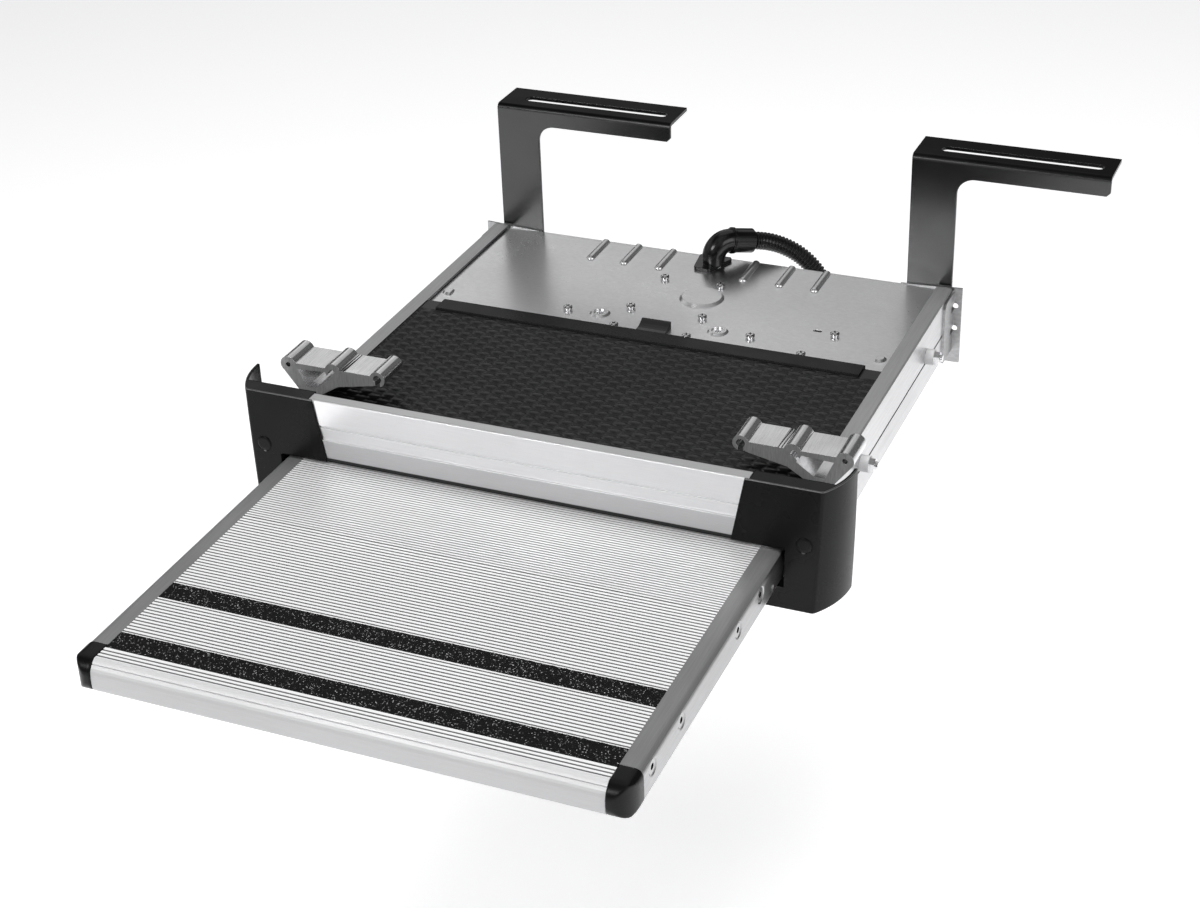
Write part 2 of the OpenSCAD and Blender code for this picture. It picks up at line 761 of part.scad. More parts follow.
plug_seat_y = cover_lean(cover_boss_z) + 1;
cover_head_r = plug_r - 2.3;
cover_head_h = 2.4;
cover_seat_y = plug_seat_y + 0.3 + cover_head_h;

module cover_plan(r) {
    intersection() {
        translate([cover_centre_x, cover_end_y]) circle(r = r, $fn = 96);
        translate([0, cover_foot_y - 5]) square([cover_x + 5, cover_end_y - cover_foot_y + 5]);
    }
}

module cover_shell() {
    // curved side wall
    difference() {
        along_z(cover_foot_z, fascia_top_z) cover_plan(cover_r);
        along_z(cover_foot_z - 1, fascia_top_z + 1) cover_plan(cover_r - cover_wall + 0.5);
    }
    // front wall with flanges at its top and foot
    intersection() {
        along_z(cover_foot_z, fascia_top_z) cover_plan(cover_r);
        union() {
            along_x(0, cover_x) polygon([
                [cover_lean(fascia_top_z), fascia_top_z], [cover_lean(cover_foot_z), cover_foot_z],
                [cover_lean(cover_foot_z) + 3 * cover_wall, cover_foot_z],
                [cover_lean(cover_foot_z) + 3 * cover_wall, cover_foot_z + cover_wall],
                [cover_lean(cover_foot_z) + cover_wall, cover_foot_z + cover_wall],
                [cover_lean(fascia_top_z) + cover_wall, fascia_top_z - cover_wall],
                [cover_lean(fascia_top_z) + cover_flange_d, fascia_top_z - cover_wall],
                [cover_lean(fascia_top_z) + cover_flange_d, fascia_top_z]
            ]);
            rod_y(cover_boss_x, cover_foot_y + 2, cover_tab_y, cover_boss_z, cover_head_r + 2);
            // sill and side of the window for the arm
            block(plank_x - 4, window_x + lining_t, cover_foot_y + 1, lining_y,
                  window_foot_z - lining_t, window_foot_z);
            block(window_x, window_x + lining_t, cover_foot_y + 1, lining_y,
                  window_foot_z - 1, window_top_z);
        }
    }
}

module end_cover(side) {
    placed() on_side(side) difference() {
        intersection() {
            cover_shell();
            // nothing in front of the leaning front face
            along_x(0, cover_x + 1) polygon([
                [cover_lean(fascia_top_z + 9), fascia_top_z + 9],
                [cover_lean(cover_foot_z - 9), cover_foot_z - 9],
                [cover_end_y + 9, cover_foot_z - 9], [cover_end_y + 9, fascia_top_z + 9]
            ]);
        }
        // slanted inner edge beside the fascia
        along_y(cover_foot_y - 9, cover_end_y + 9) polygon([
            [0, fascia_top_z + 1], [inner_top_x + 0.2, fascia_top_z + 1], [inner_foot_x, window_top_z],
            [window_x, window_top_z], [window_x, window_foot_z], [plank_x - 4, window_foot_z],
            [plank_x - 4, cover_foot_z - 1], [0, cover_foot_z - 1]
        ]);
        // room for the fascia behind the front wall
        along_x(0, fascia_x + fit_gap) polygon([
            [fascia_lean(fascia_top_z) - fit_gap, fascia_top_z + 1],
            [fascia_lean(window_top_z) - fit_gap - 0.3, window_top_z - 1],
            [fascia_back_y + 30, window_top_z - 1], [fascia_back_y + 30, fascia_top_z + 1]
        ]);
        rod_y(cover_boss_x, cover_foot_y - 9, cover_end_y, cover_boss_z, cover_screw_r + fit_gap);
        rod_y(cover_boss_x, cover_foot_y - 9, cover_seat_y, cover_boss_z, cover_head_r + fit_gap);
        rod_y(cover_boss_x, cover_foot_y - 9, plug_seat_y, cover_boss_z, plug_r + fit_gap);
    }
}
module left_end_cover() { color("black") end_cover(-1); }
module right_end_cover() { color("black") end_cover(1); }

// angle brackets on the rails' front ends, with the covers' screws
cover_tab_y = cover_foot_y + 3 + cover_boss_d;
cover_tab_half_h = 8;
module cover_brackets() {
    y1 = cover_tab_y + sheet_t;
    z0 = cover_boss_z - cover_tab_half_h;
    z1 = cover_boss_z + cover_tab_half_h;
    color("silver") placed() on_both() {
        difference() {
            union() {
                block(rail_out_x, cover_boss_x + 6, cover_tab_y, y1, z0, z1);
                block(rail_out_x, rail_out_x + sheet_t, cover_tab_y, rail_front_y + 16, z0, z1);
            }
            rod_y(cover_boss_x, cover_tab_y - 1, y1 + 1, cover_boss_z, cover_screw_r + fit_gap);
        }
        rod_y(cover_boss_x, cover_seat_y - 0.1, y1 + 3, cover_boss_z, cover_screw_r);
        rod_y(cover_boss_x, cover_seat_y - cover_head_h, cover_seat_y, cover_boss_z, cover_head_r);
        rod_y(cover_boss_x, y1, y1 + 2, cover_boss_z, cover_screw_r + 1.5);
    }
}

module cover_plugs() {
    y0 = cover_lean(cover_boss_z);
    color("black") placed() on_both() {
        rod_y(cover_boss_x, y0 - 0.2, plug_seat_y, cover_boss_z, plug_r);
        translate([cover_boss_x, y0 - 0.2, cover_boss_z]) rotate([90, 0, 0])
            cylinder(h = 0.5, r1 = plug_r, r2 = plug_r - 1.5);
    }
}

module rear_panel() {
    color("lightgray") placed() difference() {
        block(-rail_out_x + 1, rail_out_x - 1, rear_y, rear_y + sheet_t, rail_foot_z, plate_z);
        at_bracket_bolts() rod_y(0, rear_y - 1, rear_y + 3, 0, bolt_r + fit_gap);
    }
}

// Hanging brackets and ears

leg_bolt_z = [4, -22];
leg_foot_z = -34;
module at_bracket_bolts() {
    for (x0 = [-bracket_left_x, bracket_pitch - bracket_left_x])
        for (z = leg_bolt_z)
            translate([x0 + leg_w / 2, 0, z]) children();
}

module bracket(x0) {
    web_z = bracket_top_z - bracket_web_h;
    bend_r = bracket_t + 1.5;
    back_y = bracket_y + bracket_flange_d;
    placed() translate([x0, 0, 0]) difference() {
        union() {
            // arm: flange and web in one bent profile
            along_x(0, bracket_l) polygon(concat(
                [[bracket_y, web_z]],
                arc(bracket_y + bend_r, bracket_top_z - bend_r, bend_r, 180, 90, 8),
                [[back_y, bracket_top_z], [back_y, bracket_top_z - bracket_t]],
                arc(bracket_y + bend_r, bracket_top_z - bend_r, bend_r - bracket_t, 90, 180, 6),
                [[bracket_y + bracket_t, web_z]]
            ));
            // leg, with a rounded inner corner
            along_y(bracket_y, bracket_y + bracket_t) polygon(concat(
                [[0, leg_foot_z], [0, web_z + 0.5], [leg_w + bracket_corner_r + 1, web_z + 0.5],
                 [leg_w + bracket_corner_r + 1, web_z]],
                arc(leg_w + bracket_corner_r, web_z - bracket_corner_r, bracket_corner_r, 90, 180, 10),
                [[leg_w, leg_foot_z]]
            ));
        }
        along_z(bracket_top_z - bracket_t - 1, bracket_top_z + 1) {
            translate([bracket_l - slot_end - slot_l + slot_w / 2, mount_y - slot_w / 2])
                square([slot_l - slot_w, slot_w]);
            for (x = [bracket_l - slot_end - slot_l + slot_w / 2, bracket_l - slot_end - slot_w / 2])
                translate([x, mount_y]) circle(r = slot_w / 2);
        }
        // small corner cuts at the arm's free end
        along_y(bracket_y - 1, bracket_y + bracket_t + 1)
            polygon([[bracket_l + 1, web_z - 1], [bracket_l - 3, web_z - 1], [bracket_l - 3, web_z],
                     [bracket_l, web_z + 3], [bracket_l + 1, web_z + 3]]);
        for (z = leg_bolt_z)
            rod_y(leg_w / 2, bracket_y - 1, bracket_y + bracket_t + 1, z, bolt_r + fit_gap);
    }
}
module left_bracket() { color("dimgray") bracket(-bracket_left_x); }
module right_bracket() { color("dimgray") bracket(bracket_pitch - bracket_left_x); }

ear_x = rail_out_x + ear_out;
ear_hole_x = ear_x - 5.5;
ear_hole_z = 3.4;
ear_flange_l = 28;
ear_flange_z = rail_top_z - 2.5;
ear_flange_r = 6;
ear_notch = 8;
module ear_plate(side) {
    placed() on_side(side) difference() {
        union() {
            // ear across, behind the rail
            block(rail_in_x - 42, ear_x, ear_y, bracket_y, rail_foot_z, rail_top_z);
            block(rail_in_x - 2, ear_x, ear_y, bracket_y, ear_foot_z, rail_top_z);
            // flange along the rail's side, with a rounded upper corner
            along_x(rail_out_x, rail_out_x + sheet_t) polygon(concat(
                [[bracket_y, ear_flange_z], [bracket_y, rail_foot_z],
                 [rear_y - ear_flange_l, rail_foot_z]],
                arc(rear_y - ear_flange_l + ear_flange_r, ear_flange_z - ear_flange_r, ear_flange_r,
                    180, 90, 6)));
        }
        for (z = [ear_hole_z, ear_hole_z - ear_hole_gap])
            rod_y(ear_hole_x, rear_y - ear_notch, bracket_y + 1, z, ear_hole_r);
        mirror([side < 0 ? 1 : 0, 0, 0]) at_bracket_bolts()
            rod_y(0, rear_y, bracket_y + 1, 0, bolt_r + fit_gap);
    }
}
module left_ear_plate() { color("silver") ear_plate(-1); }
module right_ear_plate() { color("silver") ear_plate(1); }

// bolts from inside the housing through panel, ear and leg
module bracket_bolts() {
    head_r = 7;
    head_h = 5;
    nut_y = bracket_y + bracket_t;
    color("white") placed() at_bracket_bolts() {
        rod_y(0, rear_y - head_h, rear_y, 0, head_r - 1);
        rod_y(0, rear_y - 1, nut_y + 9, 0, bolt_r);
        translate([0, nut_y + 6.5, 0]) rotate([90, 0, 0]) difference() {
            cylinder(h = 6.5, r = head_r, $fn = 6);
            translate([0, 0, -1]) cylinder(h = 9, r = bolt_r + fit_gap);
        }
    }
}

// Sawn adapter blocks on the rails' front ends

block_front_y = fascia_y + block_setback;
block_rear_y = block_front_y + block_l;
block_screw_y = block_front_y + block_l / 2;
hook_x = half_w - 52.2;
mid_boss_x = half_w - 13.1;
outer_boss_x = half_w + 26;
boss_z = rail_top_z + 24.4;
block_foot_x = rail_in_x - 2.6;
foot_screw_r = 2;
foot_screw_l = 7;

hook_hole_r = boss_r - 3;
hook_mouth = 4;
keyhole_r = 2.6;
keyhole_x = mid_boss_x + 1;
keyhole_z = boss_z - 1;
keyhole_turn = -50;
web_top = boss_z + 2.2;
block_cell_z = rail_top_z + 7;
scribe_xs = [mid_boss_x - 11, mid_boss_x - 8.6];
scribe_w = 0.7;
scribe_d = 0.35;

// web between the bosses, with its tapering arm, outer wall and hollow cell
module adapter_web() {
    difference() {
        polygon([
            [hook_x + 2, web_top], [outer_boss_x, web_top], [outer_boss_x + 4.5, boss_z - 5],
            [rail_out_x + 4.5, rail_top_z + 3], [rail_out_x - 0.5, rail_top_z],
            [block_foot_x - 5, rail_top_z], [block_foot_x - 24, boss_z - 12.6],
            [hook_x + 3.5, boss_z - 6.2]
        ]);
        polygon([
            [mid_boss_x + 5.4, boss_z - 1.4], [outer_boss_x - 8, boss_z - 2.6],
            [rail_out_x - 2, block_cell_z], [block_foot_x - 4, block_cell_z + 0.5],
            [mid_boss_x + 3, boss_z - 7.5]
        ]);
        for (x = scribe_xs) translate([x, web_top - scribe_d]) square([scribe_w, 1]);
    }
}

module adapter_block(side) {
    y0 = block_front_y - 1;
    y1 = block_rear_y + 1;
    placed() on_side(side) difference() {
        union() {
            rod_y(hook_x, block_front_y, block_rear_y, boss_z, boss_r);
            rod_y(mid_boss_x, block_front_y, block_rear_y, boss_z, boss_r + 0.4);
            rod_y(outer_boss_x, block_front_y, block_rear_y, boss_z, boss_r + 0.4);
            along_y(block_front_y, block_rear_y) adapter_web();
        }
        // hook boss opens downward
        rod_y(hook_x, y0, y1, boss_z, hook_hole_r);
        block(hook_x - hook_mouth / 2, hook_x + hook_mouth / 2, y0, y1, boss_z - boss_r - 1, boss_z);
        // keyhole of the middle boss opens into the cell
        rod_y(keyhole_x, y0, y1, keyhole_z, keyhole_r);
        translate([keyhole_x, y0, keyhole_z]) rotate([0, -keyhole_turn, 0])
            translate([0, 0, -keyhole_r / 2]) cube([boss_r - 0.4, y1 - y0, keyhole_r]);
        rod_y(outer_boss_x, y0, y1, boss_z, boss_hole_r);
        rod_z(block_foot_x, block_screw_y, rail_top_z - 1, rail_top_z + foot_screw_l - 1.5,
              foot_screw_r + fit_gap);
    }
}
module left_adapter_block() { color("silver") adapter_block(-1); }
module right_adapter_block() { color("silver") adapter_block(1); }

// low head screws from under the rail flange into the blocks' feet
module adapter_screws() {
    color("white") placed() on_both() {
        rod_z(block_foot_x, block_screw_y, slot_roof_z - 1.8, slot_roof_z, 2.4);
        rod_z(block_foot_x, block_screw_y, slot_roof_z - 0.5, slot_roof_z + foot_screw_l, foot_screw_r);
    }
}

// plastic guide blocks round the arms, at the rails' front ends
guide_l = 30;
module front_guide_blocks() {
    color("dimgray") placed() on_both() difference() {
        block(foot_in_x, rail_in_x, rail_front_y, rail_front_y + guide_l,
              rail_foot_z + rail_wall - 0.1, ledge_z - ledge_t);
        block(0, half_w + run_gap, rail_front_y - 1, rail_front_y + guide_l + 1,
              -arm_h - run_gap, run_gap);
    }
}

// Drive, hung under the top plate

drive_plate_t = 2.6;
drive_plate_z = ledge_z - drive_plate_t;
drive_plate_x = 90;
drive_plate_far = 165;
drive_plate_near = 44;
case_wall = 2.5;
case_x0 = dome_x - wheel_r - 13;
case_x1 = dome_x + wheel_r + 25;
case_y0 = dome_y - wheel_r - 0.5 - case_wall;
worm_y = dome_y + wheel_r + worm_r + run_gap;
case_y1 = worm_y + worm_r + 0.6 + case_wall;
worm_z = -18;
case_z0 = -31;
case_z1 = -3;
lid_t = 2.5;
column_r = 4;
column_inset = 5;
idler_y = fascia_back_y + 20.4;

module drive_plate() {
    color("lightgray") placed() difference() {
        block(-drive_plate_x, drive_plate_x, rear_y - drive_plate_far, rear_y - drive_plate_near,
              drive_plate_z, ledge_z);
        for (p = plate_screw_pairs) on_both()
            rod_z(p[0], rear_y - p[1], drive_plate_z - 1, ledge_z + 1, pan_shank_r + fit_gap);
        rod_z(dome_x, dome_y, drive_plate_z - 1, ledge_z + 1, shaft_r + fit_gap);
    }
}

module at_columns() {
    for (x = [case_x0 + column_inset, case_x1 - column_inset])
        for (y = [case_y0 + column_inset, case_y1 - column_inset])
            translate([x, y, 0]) children();
}

module gearbox_case() {
    color("dimgray") placed() difference() {
        block(case_x0, case_x1, case_y0, case_y1, case_z0, case_z1);
        // room for the worm wheel and the worm
        rod_z(dome_x, dome_y, case_z0 + case_wall, case_z1 + 1, wheel_r + 0.5);
        block(dome_x - wheel_r, case_x1 - case_wall, worm_y - worm_r - 0.6, worm_y + worm_r + 0.6,
              worm_z - worm_r - 0.6, case_z1 + 1);
        rod_x(case_x1 - case_wall - 1, case_x1 + 1, worm_y, worm_z, worm_r - 1.5 + fit_gap);
    }
}

module gearbox_lid() {
    color("dimgray") placed() {
        difference() {
            block(case_x0, case_x1, case_y0, case_y1, case_z1, case_z1 + lid_t);
            rod_z(dome_x, dome_y, case_z1 - 1, case_z1 + lid_t + 1, shaft_r + fit_gap);
        }
        at_columns() rod_z(0, 0, case_z1 + lid_t - 0.1, drive_plate_z, column_r);
    }
}

module motor_can() {
    x0 = case_x1;
    color("silver") placed() difference() {
        union() {
            rod_x(x0, x0 + motor_l, worm_y, worm_z + 1, motor_r);
            block(x0, x0 + 3, worm_y - motor_r, worm_y + motor_r, worm_z - 12, worm_z + 15);
        }
        rod_x(x0 - 1, x0 + 20, worm_y, worm_z, worm_r + 2);
    }
}

// brush cover with its bearing cup and two terminal pockets
end_cap_t = 5;
cup_l = 4;
terminal_y = 14;
terminal_w = 3;
terminal_h = 8;
module motor_end_cap() {
    x0 = case_x1 + motor_l;
    color("black") placed() difference() {
        union() {
            rod_x(x0, x0 + end_cap_t, worm_y, worm_z + 1, motor_r);
            rod_x(x0 + end_cap_t - 0.1, x0 + end_cap_t + cup_l, worm_y, worm_z + 1, motor_r - 5);
        }
        for (y = [worm_y - terminal_y, worm_y + terminal_y])
            block(x0 + end_cap_t / 2, x0 + end_cap_t + 1, y - terminal_w / 2, y + terminal_w / 2,
                  worm_z + 1 - terminal_h / 2, worm_z + 1 + terminal_h / 2);
    }
}

worm_shaft_r = worm_r - 1.5;
worm_half_l = 12;
worm_pitch = 3;
worm_groove_w = 1.4;
worm_shaft_end = case_x1 + 16;
module worm_shaft() {
    color("goldenrod") placed() difference() {
        union() {
            rod_x(dome_x - worm_half_l, dome_x + worm_half_l, worm_y, worm_z, worm_r);
            rod_x(dome_x - worm_half_l, worm_shaft_end, worm_y, worm_z, worm_shaft_r);
        }
        for (k = [-3 : 3]) translate([dome_x + k * worm_pitch, 0, 0]) difference() {
            rod_x(-worm_groove_w / 2, worm_groove_w / 2, worm_y, worm_z, worm_r + 1);
            rod_x(-worm_groove_w, worm_groove_w, worm_y, worm_z, worm_r - 1);
        }
    }
}

wheel_h = 9;
wheel_teeth = 24;
tooth_gap = 1.4;
tooth_d = 1;
module worm_wheel() {
    color("ivory") placed() translate([dome_x, dome_y, worm_z - wheel_h / 2]) difference() {
        cylinder(h = wheel_h, r = wheel_r);
        translate([0, 0, -1]) cylinder(h = wheel_h + 2, r = shaft_r + fit_gap / 2);
        for (k = [0 : wheel_teeth - 1]) rotate(k * 360 / wheel_teeth)
            translate([wheel_r - tooth_d, -tooth_gap / 2, -1]) cube([tooth_d + 1, tooth_gap, wheel_h + 2]);
    }
}

belt_z = 3;
belt_r = pulley_r + belt_t / 2;
belt_in_r = pulley_r - belt_t / 2;
module drive_shaft() {
    color("gray") placed() rod_z(dome_x, dome_y, case_z0 + case_wall + 0.3, ledge_z - 0.5, shaft_r);
}

module pulley_body(bore_r) {
    z0 = belt_z - 1.2;
    difference() {
        union() {
            rod_z(0, 0, z0, z0 + 1, belt_r);
            rod_z(0, 0, z0, belt_z + belt_h + 1.2, belt_in_r - run_gap);
            rod_z(0, 0, belt_z + belt_h + 0.2, belt_z + belt_h + 1.2, belt_r);
        }
        rod_z(0, 0, 0, 20, bore_r);
    }
}
module drive_pulley() {
    color("silver") placed() translate([dome_x, dome_y, 0]) pulley_body(shaft_r + fit_gap / 2);
}

idler_pin_r = 3;
module idler_pulley() {
    color("silver") placed() translate([dome_x, idler_y, 0]) pulley_body(idler_pin_r + fit_gap);
}
module idler_bracket() {
    top_z = belt_z + belt_h + 1.6;
    color("lightgray") placed() {
        block(dome_x - 16, dome_x + 16, idler_y - 8, idler_y + 14, top_z, ledge_z);
        rod_z(dome_x, idler_y, belt_z - 1.8, top_z + 0.1, idler_pin_r);
        rod_z(dome_x, idler_y, belt_z - 2.2, belt_z - 1.6, idler_pin_r + 1.5);
    }
}

module belt_outline(r) {
    for (y = [idler_y, dome_y]) translate([dome_x, y]) circle(r = r, $fn = 96);
    translate([dome_x - r, idler_y]) square([2 * r, dome_y - idler_y]);
}
module drive_belt() {
    color("black") placed() along_z(belt_z, belt_z + belt_h) difference() {
        belt_outline(belt_r);
        belt_outline(belt_in_r);
    }
}

// two jaws on the crossbar that hold the belt's left run
clamp_y0 = rear_plank_end + 2;
clamp_y1 = crossbar_end - 1;
module belt_clamp() {
    x0 = dome_x - belt_r;
    top_z = belt_z + belt_h + 1.4;
    color("gray") placed() difference() {
        block(x0 - 16, x0 + belt_t + 2.4, clamp_y0, clamp_y1, crossbar_top, top_z);
        block(x0 - run_gap, x0 + belt_t + run_gap, clamp_y0 - 1, clamp_y1 + 1,
              belt_z - run_gap, belt_z + belt_h + run_gap);
        rod_z(x0 - 8, (clamp_y0 + clamp_y1) / 2, top_z - 3, top_z + 1, 2.5);
    }
}

control_x0 = 116;
control_x1 = 160;
control_far = 168;
control_near = 98;
control_y0 = rear_y - control_far;
control_y1 = rear_y - control_near;
control_foot_z = 2;
module control_box() {
    color("black") placed() difference() {
        block(control_x0, control_x1, control_y0, control_y1, control_foot_z, ledge_z);
        for (p = box_screws)
            rod_z(p[0], rear_y - p[1], drive_plate_z - 0.5, ledge_z + 1, pan_shank_r + fit_gap);
    }
}

// end switches at the two ends of the tread's way
switch_x = 65;
switch_w = 14;
switch_l = 20;
switch_gap = 4;
switch_foot_z = 4;
lever_w = 4;
lever_inset = 4;
lever_h = 2;
module end_switch(y, top_z) {
    block(switch_x - switch_w / 2, switch_x + switch_w / 2, y, y + switch_l, switch_foot_z, top_z);
    block(switch_x - lever_w / 2, switch_x + lever_w / 2, y + lever_inset, y + switch_l - lever_inset,
          switch_foot_z - lever_h, switch_foot_z);
}
module limit_switches() {
    color("black") placed() {
        end_switch(rear_plank_end - switch_l / 2, ledge_z);
        end_switch(crossbar_end + travel + switch_gap, drive_plate_z);
    }
}

// Conduit

flange_t = 3;
elbow_bend_r = 13;
hose_yaw = 46;
elbow_turn = 102;
elbow_rise = 5;
collar_l = 21;
collar_r = elbow_r + 0.6;
elbow_z = plate_z + flange_t + elbow_rise;

// from the elbow's foot to its mouth, looking along the hose
module at_mouth() {
    translate([elbow_x, elbow_y, elbow_z]) rotate([0, 0, hose_yaw])
        translate([elbow_bend_r, 0, 0]) rotate([0, elbow_turn, 0]) translate([-elbow_bend_r, 0, 0])
            children();
}

// foot plate of the elbow, a rounded four sided outline
foot_corner_r = 3;
foot_w = 20;
foot_d = 24;
foot_skew = 3;
module elbow_foot() {
    polygon(concat(
        arc(-foot_w / 2 - 1, -foot_d / 2 + 1, foot_corner_r, 180, 270, 4),
        arc(-1, -foot_d / 2, foot_corner_r, 270, 340, 4),
        arc(foot_w / 2 - 1, foot_d / 2, foot_corner_r, -20, 90, 4),
        arc(-foot_w / 2 - 1 - foot_skew, foot_d / 2 - 1, foot_corner_r, 90, 180, 4)
    ));
}

elbow_neck_r = elbow_r - 0.8;
module conduit_elbow() {
    color("black") placed() {
        // foot plate and neck
        difference() {
            union() {
                along_z(plate_z, plate_z + flange_t) translate([elbow_x, elbow_y]) elbow_foot();
                rod_z(elbow_x, elbow_y, plate_z + flange_t - 0.1, elbow_z - fit_gap, elbow_neck_r);
            }
            rod_z(elbow_x, elbow_y, plate_z - 1, elbow_z + 1, hose_bore_r);
        }
        // bend that turns on the neck
        translate([elbow_x, elbow_y, elbow_z]) rotate([0, 0, hose_yaw]) translate([elbow_bend_r, 0, 0])
            rotate([90, 0, 180]) rotate_extrude(angle = elbow_turn) translate([elbow_bend_r, 0])
                difference() {
                    circle(r = elbow_r);
                    circle(r = hose_bore_r);
                }
    }
}

// sleeve that grips the hose
module conduit_collar() {
    grip = collar_l - 3.6;
    color("black") placed() at_mouth() difference() {
        union() {
            cylinder(h = collar_l, r = collar_r);
            translate([0, 0, 1.2]) cylinder(h = 2, r = collar_r + 0.8);
        }
        translate([0, 0, -1]) cylinder(h = collar_l + 2, r = hose_bore_r);
        translate([0, 0, collar_l - grip]) cylinder(h = grip + 1, r = hose_r + 0.5);
    }
}

// route of the hose's middle line, from the elbow's foot, at even steps
route = [
    [13.6, 14.1, 11.9], [21.8, 22.6, 9.4], [30.1, 31.1, 6.8], [39, 38.6, 3.5], [48.5, 44.4, -1.2],
    [58.1, 48.5, -7.2], [67.2, 51.2, -14.7], [75.3, 52.6, -23.6], [81.8, 53.2, -33.7],
    [86.5, 53.4, -44.9], [89, 53.4, -56.7], [90.2, 53.4, -68.7], [90.9, 53.4, -80.8],
    [91.2, 53.4, -92.9], [91.2, 53.4, -105], [91.2, 53.4, -117], [91.2, 53.4, -129],
    [91.2, 53.4, -141], [91.2, 53.4, -153], [91.2, 53.4, -165]
];
last_leg = len(route) - 1;
hose_sides = 8;
side_ref = [0.7, -0.7, 0];

function route_pt(i) =
    i < 0 ? 2 * route[0] - route[1] :
    i > last_leg ? 2 * route[last_leg] - route[last_leg - 1] : route[i];
// smooth curve through the route's points; t counts the points
function on_route(t) =
    let (i = min(floor(t), last_leg - 1), f = t - i,
         a = route_pt(i - 1), b = route_pt(i), c = route_pt(i + 1), d = route_pt(i + 2))
    0.5 * (2 * b + (c - a) * f + (2 * a - 5 * b + 4 * c - d) * f * f
           + (3 * b - a - 3 * c + d) * f * f * f);
function unit(v) = v / norm(v);
function ring(t, r) =
    let (step = 0.01, way = unit(on_route(min(t + step, last_leg)) - on_route(max(t - step, 0))),
         u = unit(cross(way, side_ref)), v = cross(way, u), p = on_route(t))
    [for (k = [0 : hose_sides - 1]) let (a = 360 * k / hose_sides) p + r * (cos(a) * u + sin(a) * v)];

module conduit_hose() {
    outer = 2 * hose_ribs;
    inner = hose_ribs / 2;
    n = hose_sides;
    points = concat(
        [for (i = [0 : outer]) each ring(last_leg * i / outer, i % 2 == 0 ? hose_r - rib_d : hose_r)],
        [for (i = [0 : inner]) each ring(last_leg * i / inner, hose_bore_r)]
    );
    base = n * (outer + 1);
    function at(i, k) = i * n + k % n;
    faces = concat(
        [for (i = [0 : outer - 1]) for (k = [0 : n - 1]) each
            [[at(i, k), at(i + 1, k), at(i, k + 1)], [at(i + 1, k), at(i + 1, k + 1), at(i, k + 1)]]],
        [for (i = [0 : inner - 1]) for (k = [0 : n - 1]) each
            [[base + at(i, k), base + at(i, k + 1), base + at(i + 1, k)],
             [base + at(i + 1, k), base + at(i, k + 1), base + at(i + 1, k + 1)]]],
        [for (k = [0 : n - 1]) each
            [[at(0, k), at(0, k + 1), base + at(0, k)],
             [at(0, k + 1), base + at(0, k + 1), base + at(0, k)]]],
        [for (k = [0 : n - 1]) each
            [[at(outer, k), base + at(inner, k), at(outer, k + 1)],
             [at(outer, k + 1), base + at(inner, k), base + at(inner, k + 1)]]]
    );
    color("black") placed() translate([elbow_x, elbow_y, elbow_z]) polyhedron(points, faces);
}

// plug with a sleeve on the hose, a latch and three contact pins
sleeve_l = 12;
plug_w = 24;
plug_d = 16;
plug_l = 26;
plug_wall = 2;
plug_room = 14;
latch_w = 8;
latch_t = 2.4;
latch_l = 16;
pin_gap = 6;
pin_w = 2;
module hose_connector() {
    z0 = -sleeve_l - plug_l;
    color("dimgray") placed() translate([elbow_x, elbow_y, elbow_z] + route[last_leg]) {
        translate([0, 0, -sleeve_l]) cylinder(h = sleeve_l, r = hose_r + 1);
        difference() {
            block(-plug_w / 2, plug_w / 2, -plug_d / 2, plug_d / 2, z0, -sleeve_l);
            block(-plug_w / 2 + plug_wall, plug_w / 2 - plug_wall, -plug_d / 2 + plug_wall,
                  plug_d / 2 - plug_wall, z0 - 1, z0 + plug_room);
        }
        block(-latch_w / 2, latch_w / 2, -plug_d / 2 - latch_t, -plug_d / 2 + 0.1,
              -sleeve_l - latch_l - 4, -sleeve_l - 4);
        for (k = [-1 : 1]) translate([k * pin_gap, 0, 0])
            block(-pin_w / 2, pin_w / 2, -pin_w / 2, pin_w / 2, z0 + pin_w, z0 + plug_room + 0.1);
    }
}

top_plate();
left_rail();
right_rail();
rear_panel();
front_fascia();
fascia_seal();
left_end_cover();
right_end_cover();
cover_brackets();
cover_plugs();
rubber_mat();
mat_strip();
mat_tab();
plate_screws();
left_bracket();
right_bracket();
bracket_bolts();
left_ear_plate();
right_ear_plate();
rail_bolts();
left_adapter_block();
right_adapter_block();
adapter_screws();
front_guide_blocks();
drive_plate();
gearbox_case();
gearbox_lid();
motor_can();
motor_end_cap();
control_box();
limit_switches();
idler_bracket();
drive_belt();
conduit_elbow();
conduit_collar();
conduit_hose();
hose_connector();
front_plank();
rear_plank();
left_arm();
right_arm();
left_nose_cap();
right_nose_cap();
front_grip_strip();
rear_grip_strip();
arm_screws();
rear_crossbar();
belt_clamp();
slide_shoes();
drive_shaft();
drive_pulley();
worm_wheel();
worm_shaft();
idler_pulley();
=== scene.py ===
import math

import bmesh
import bpy
import numpy as np
from mathutils import Matrix, Vector


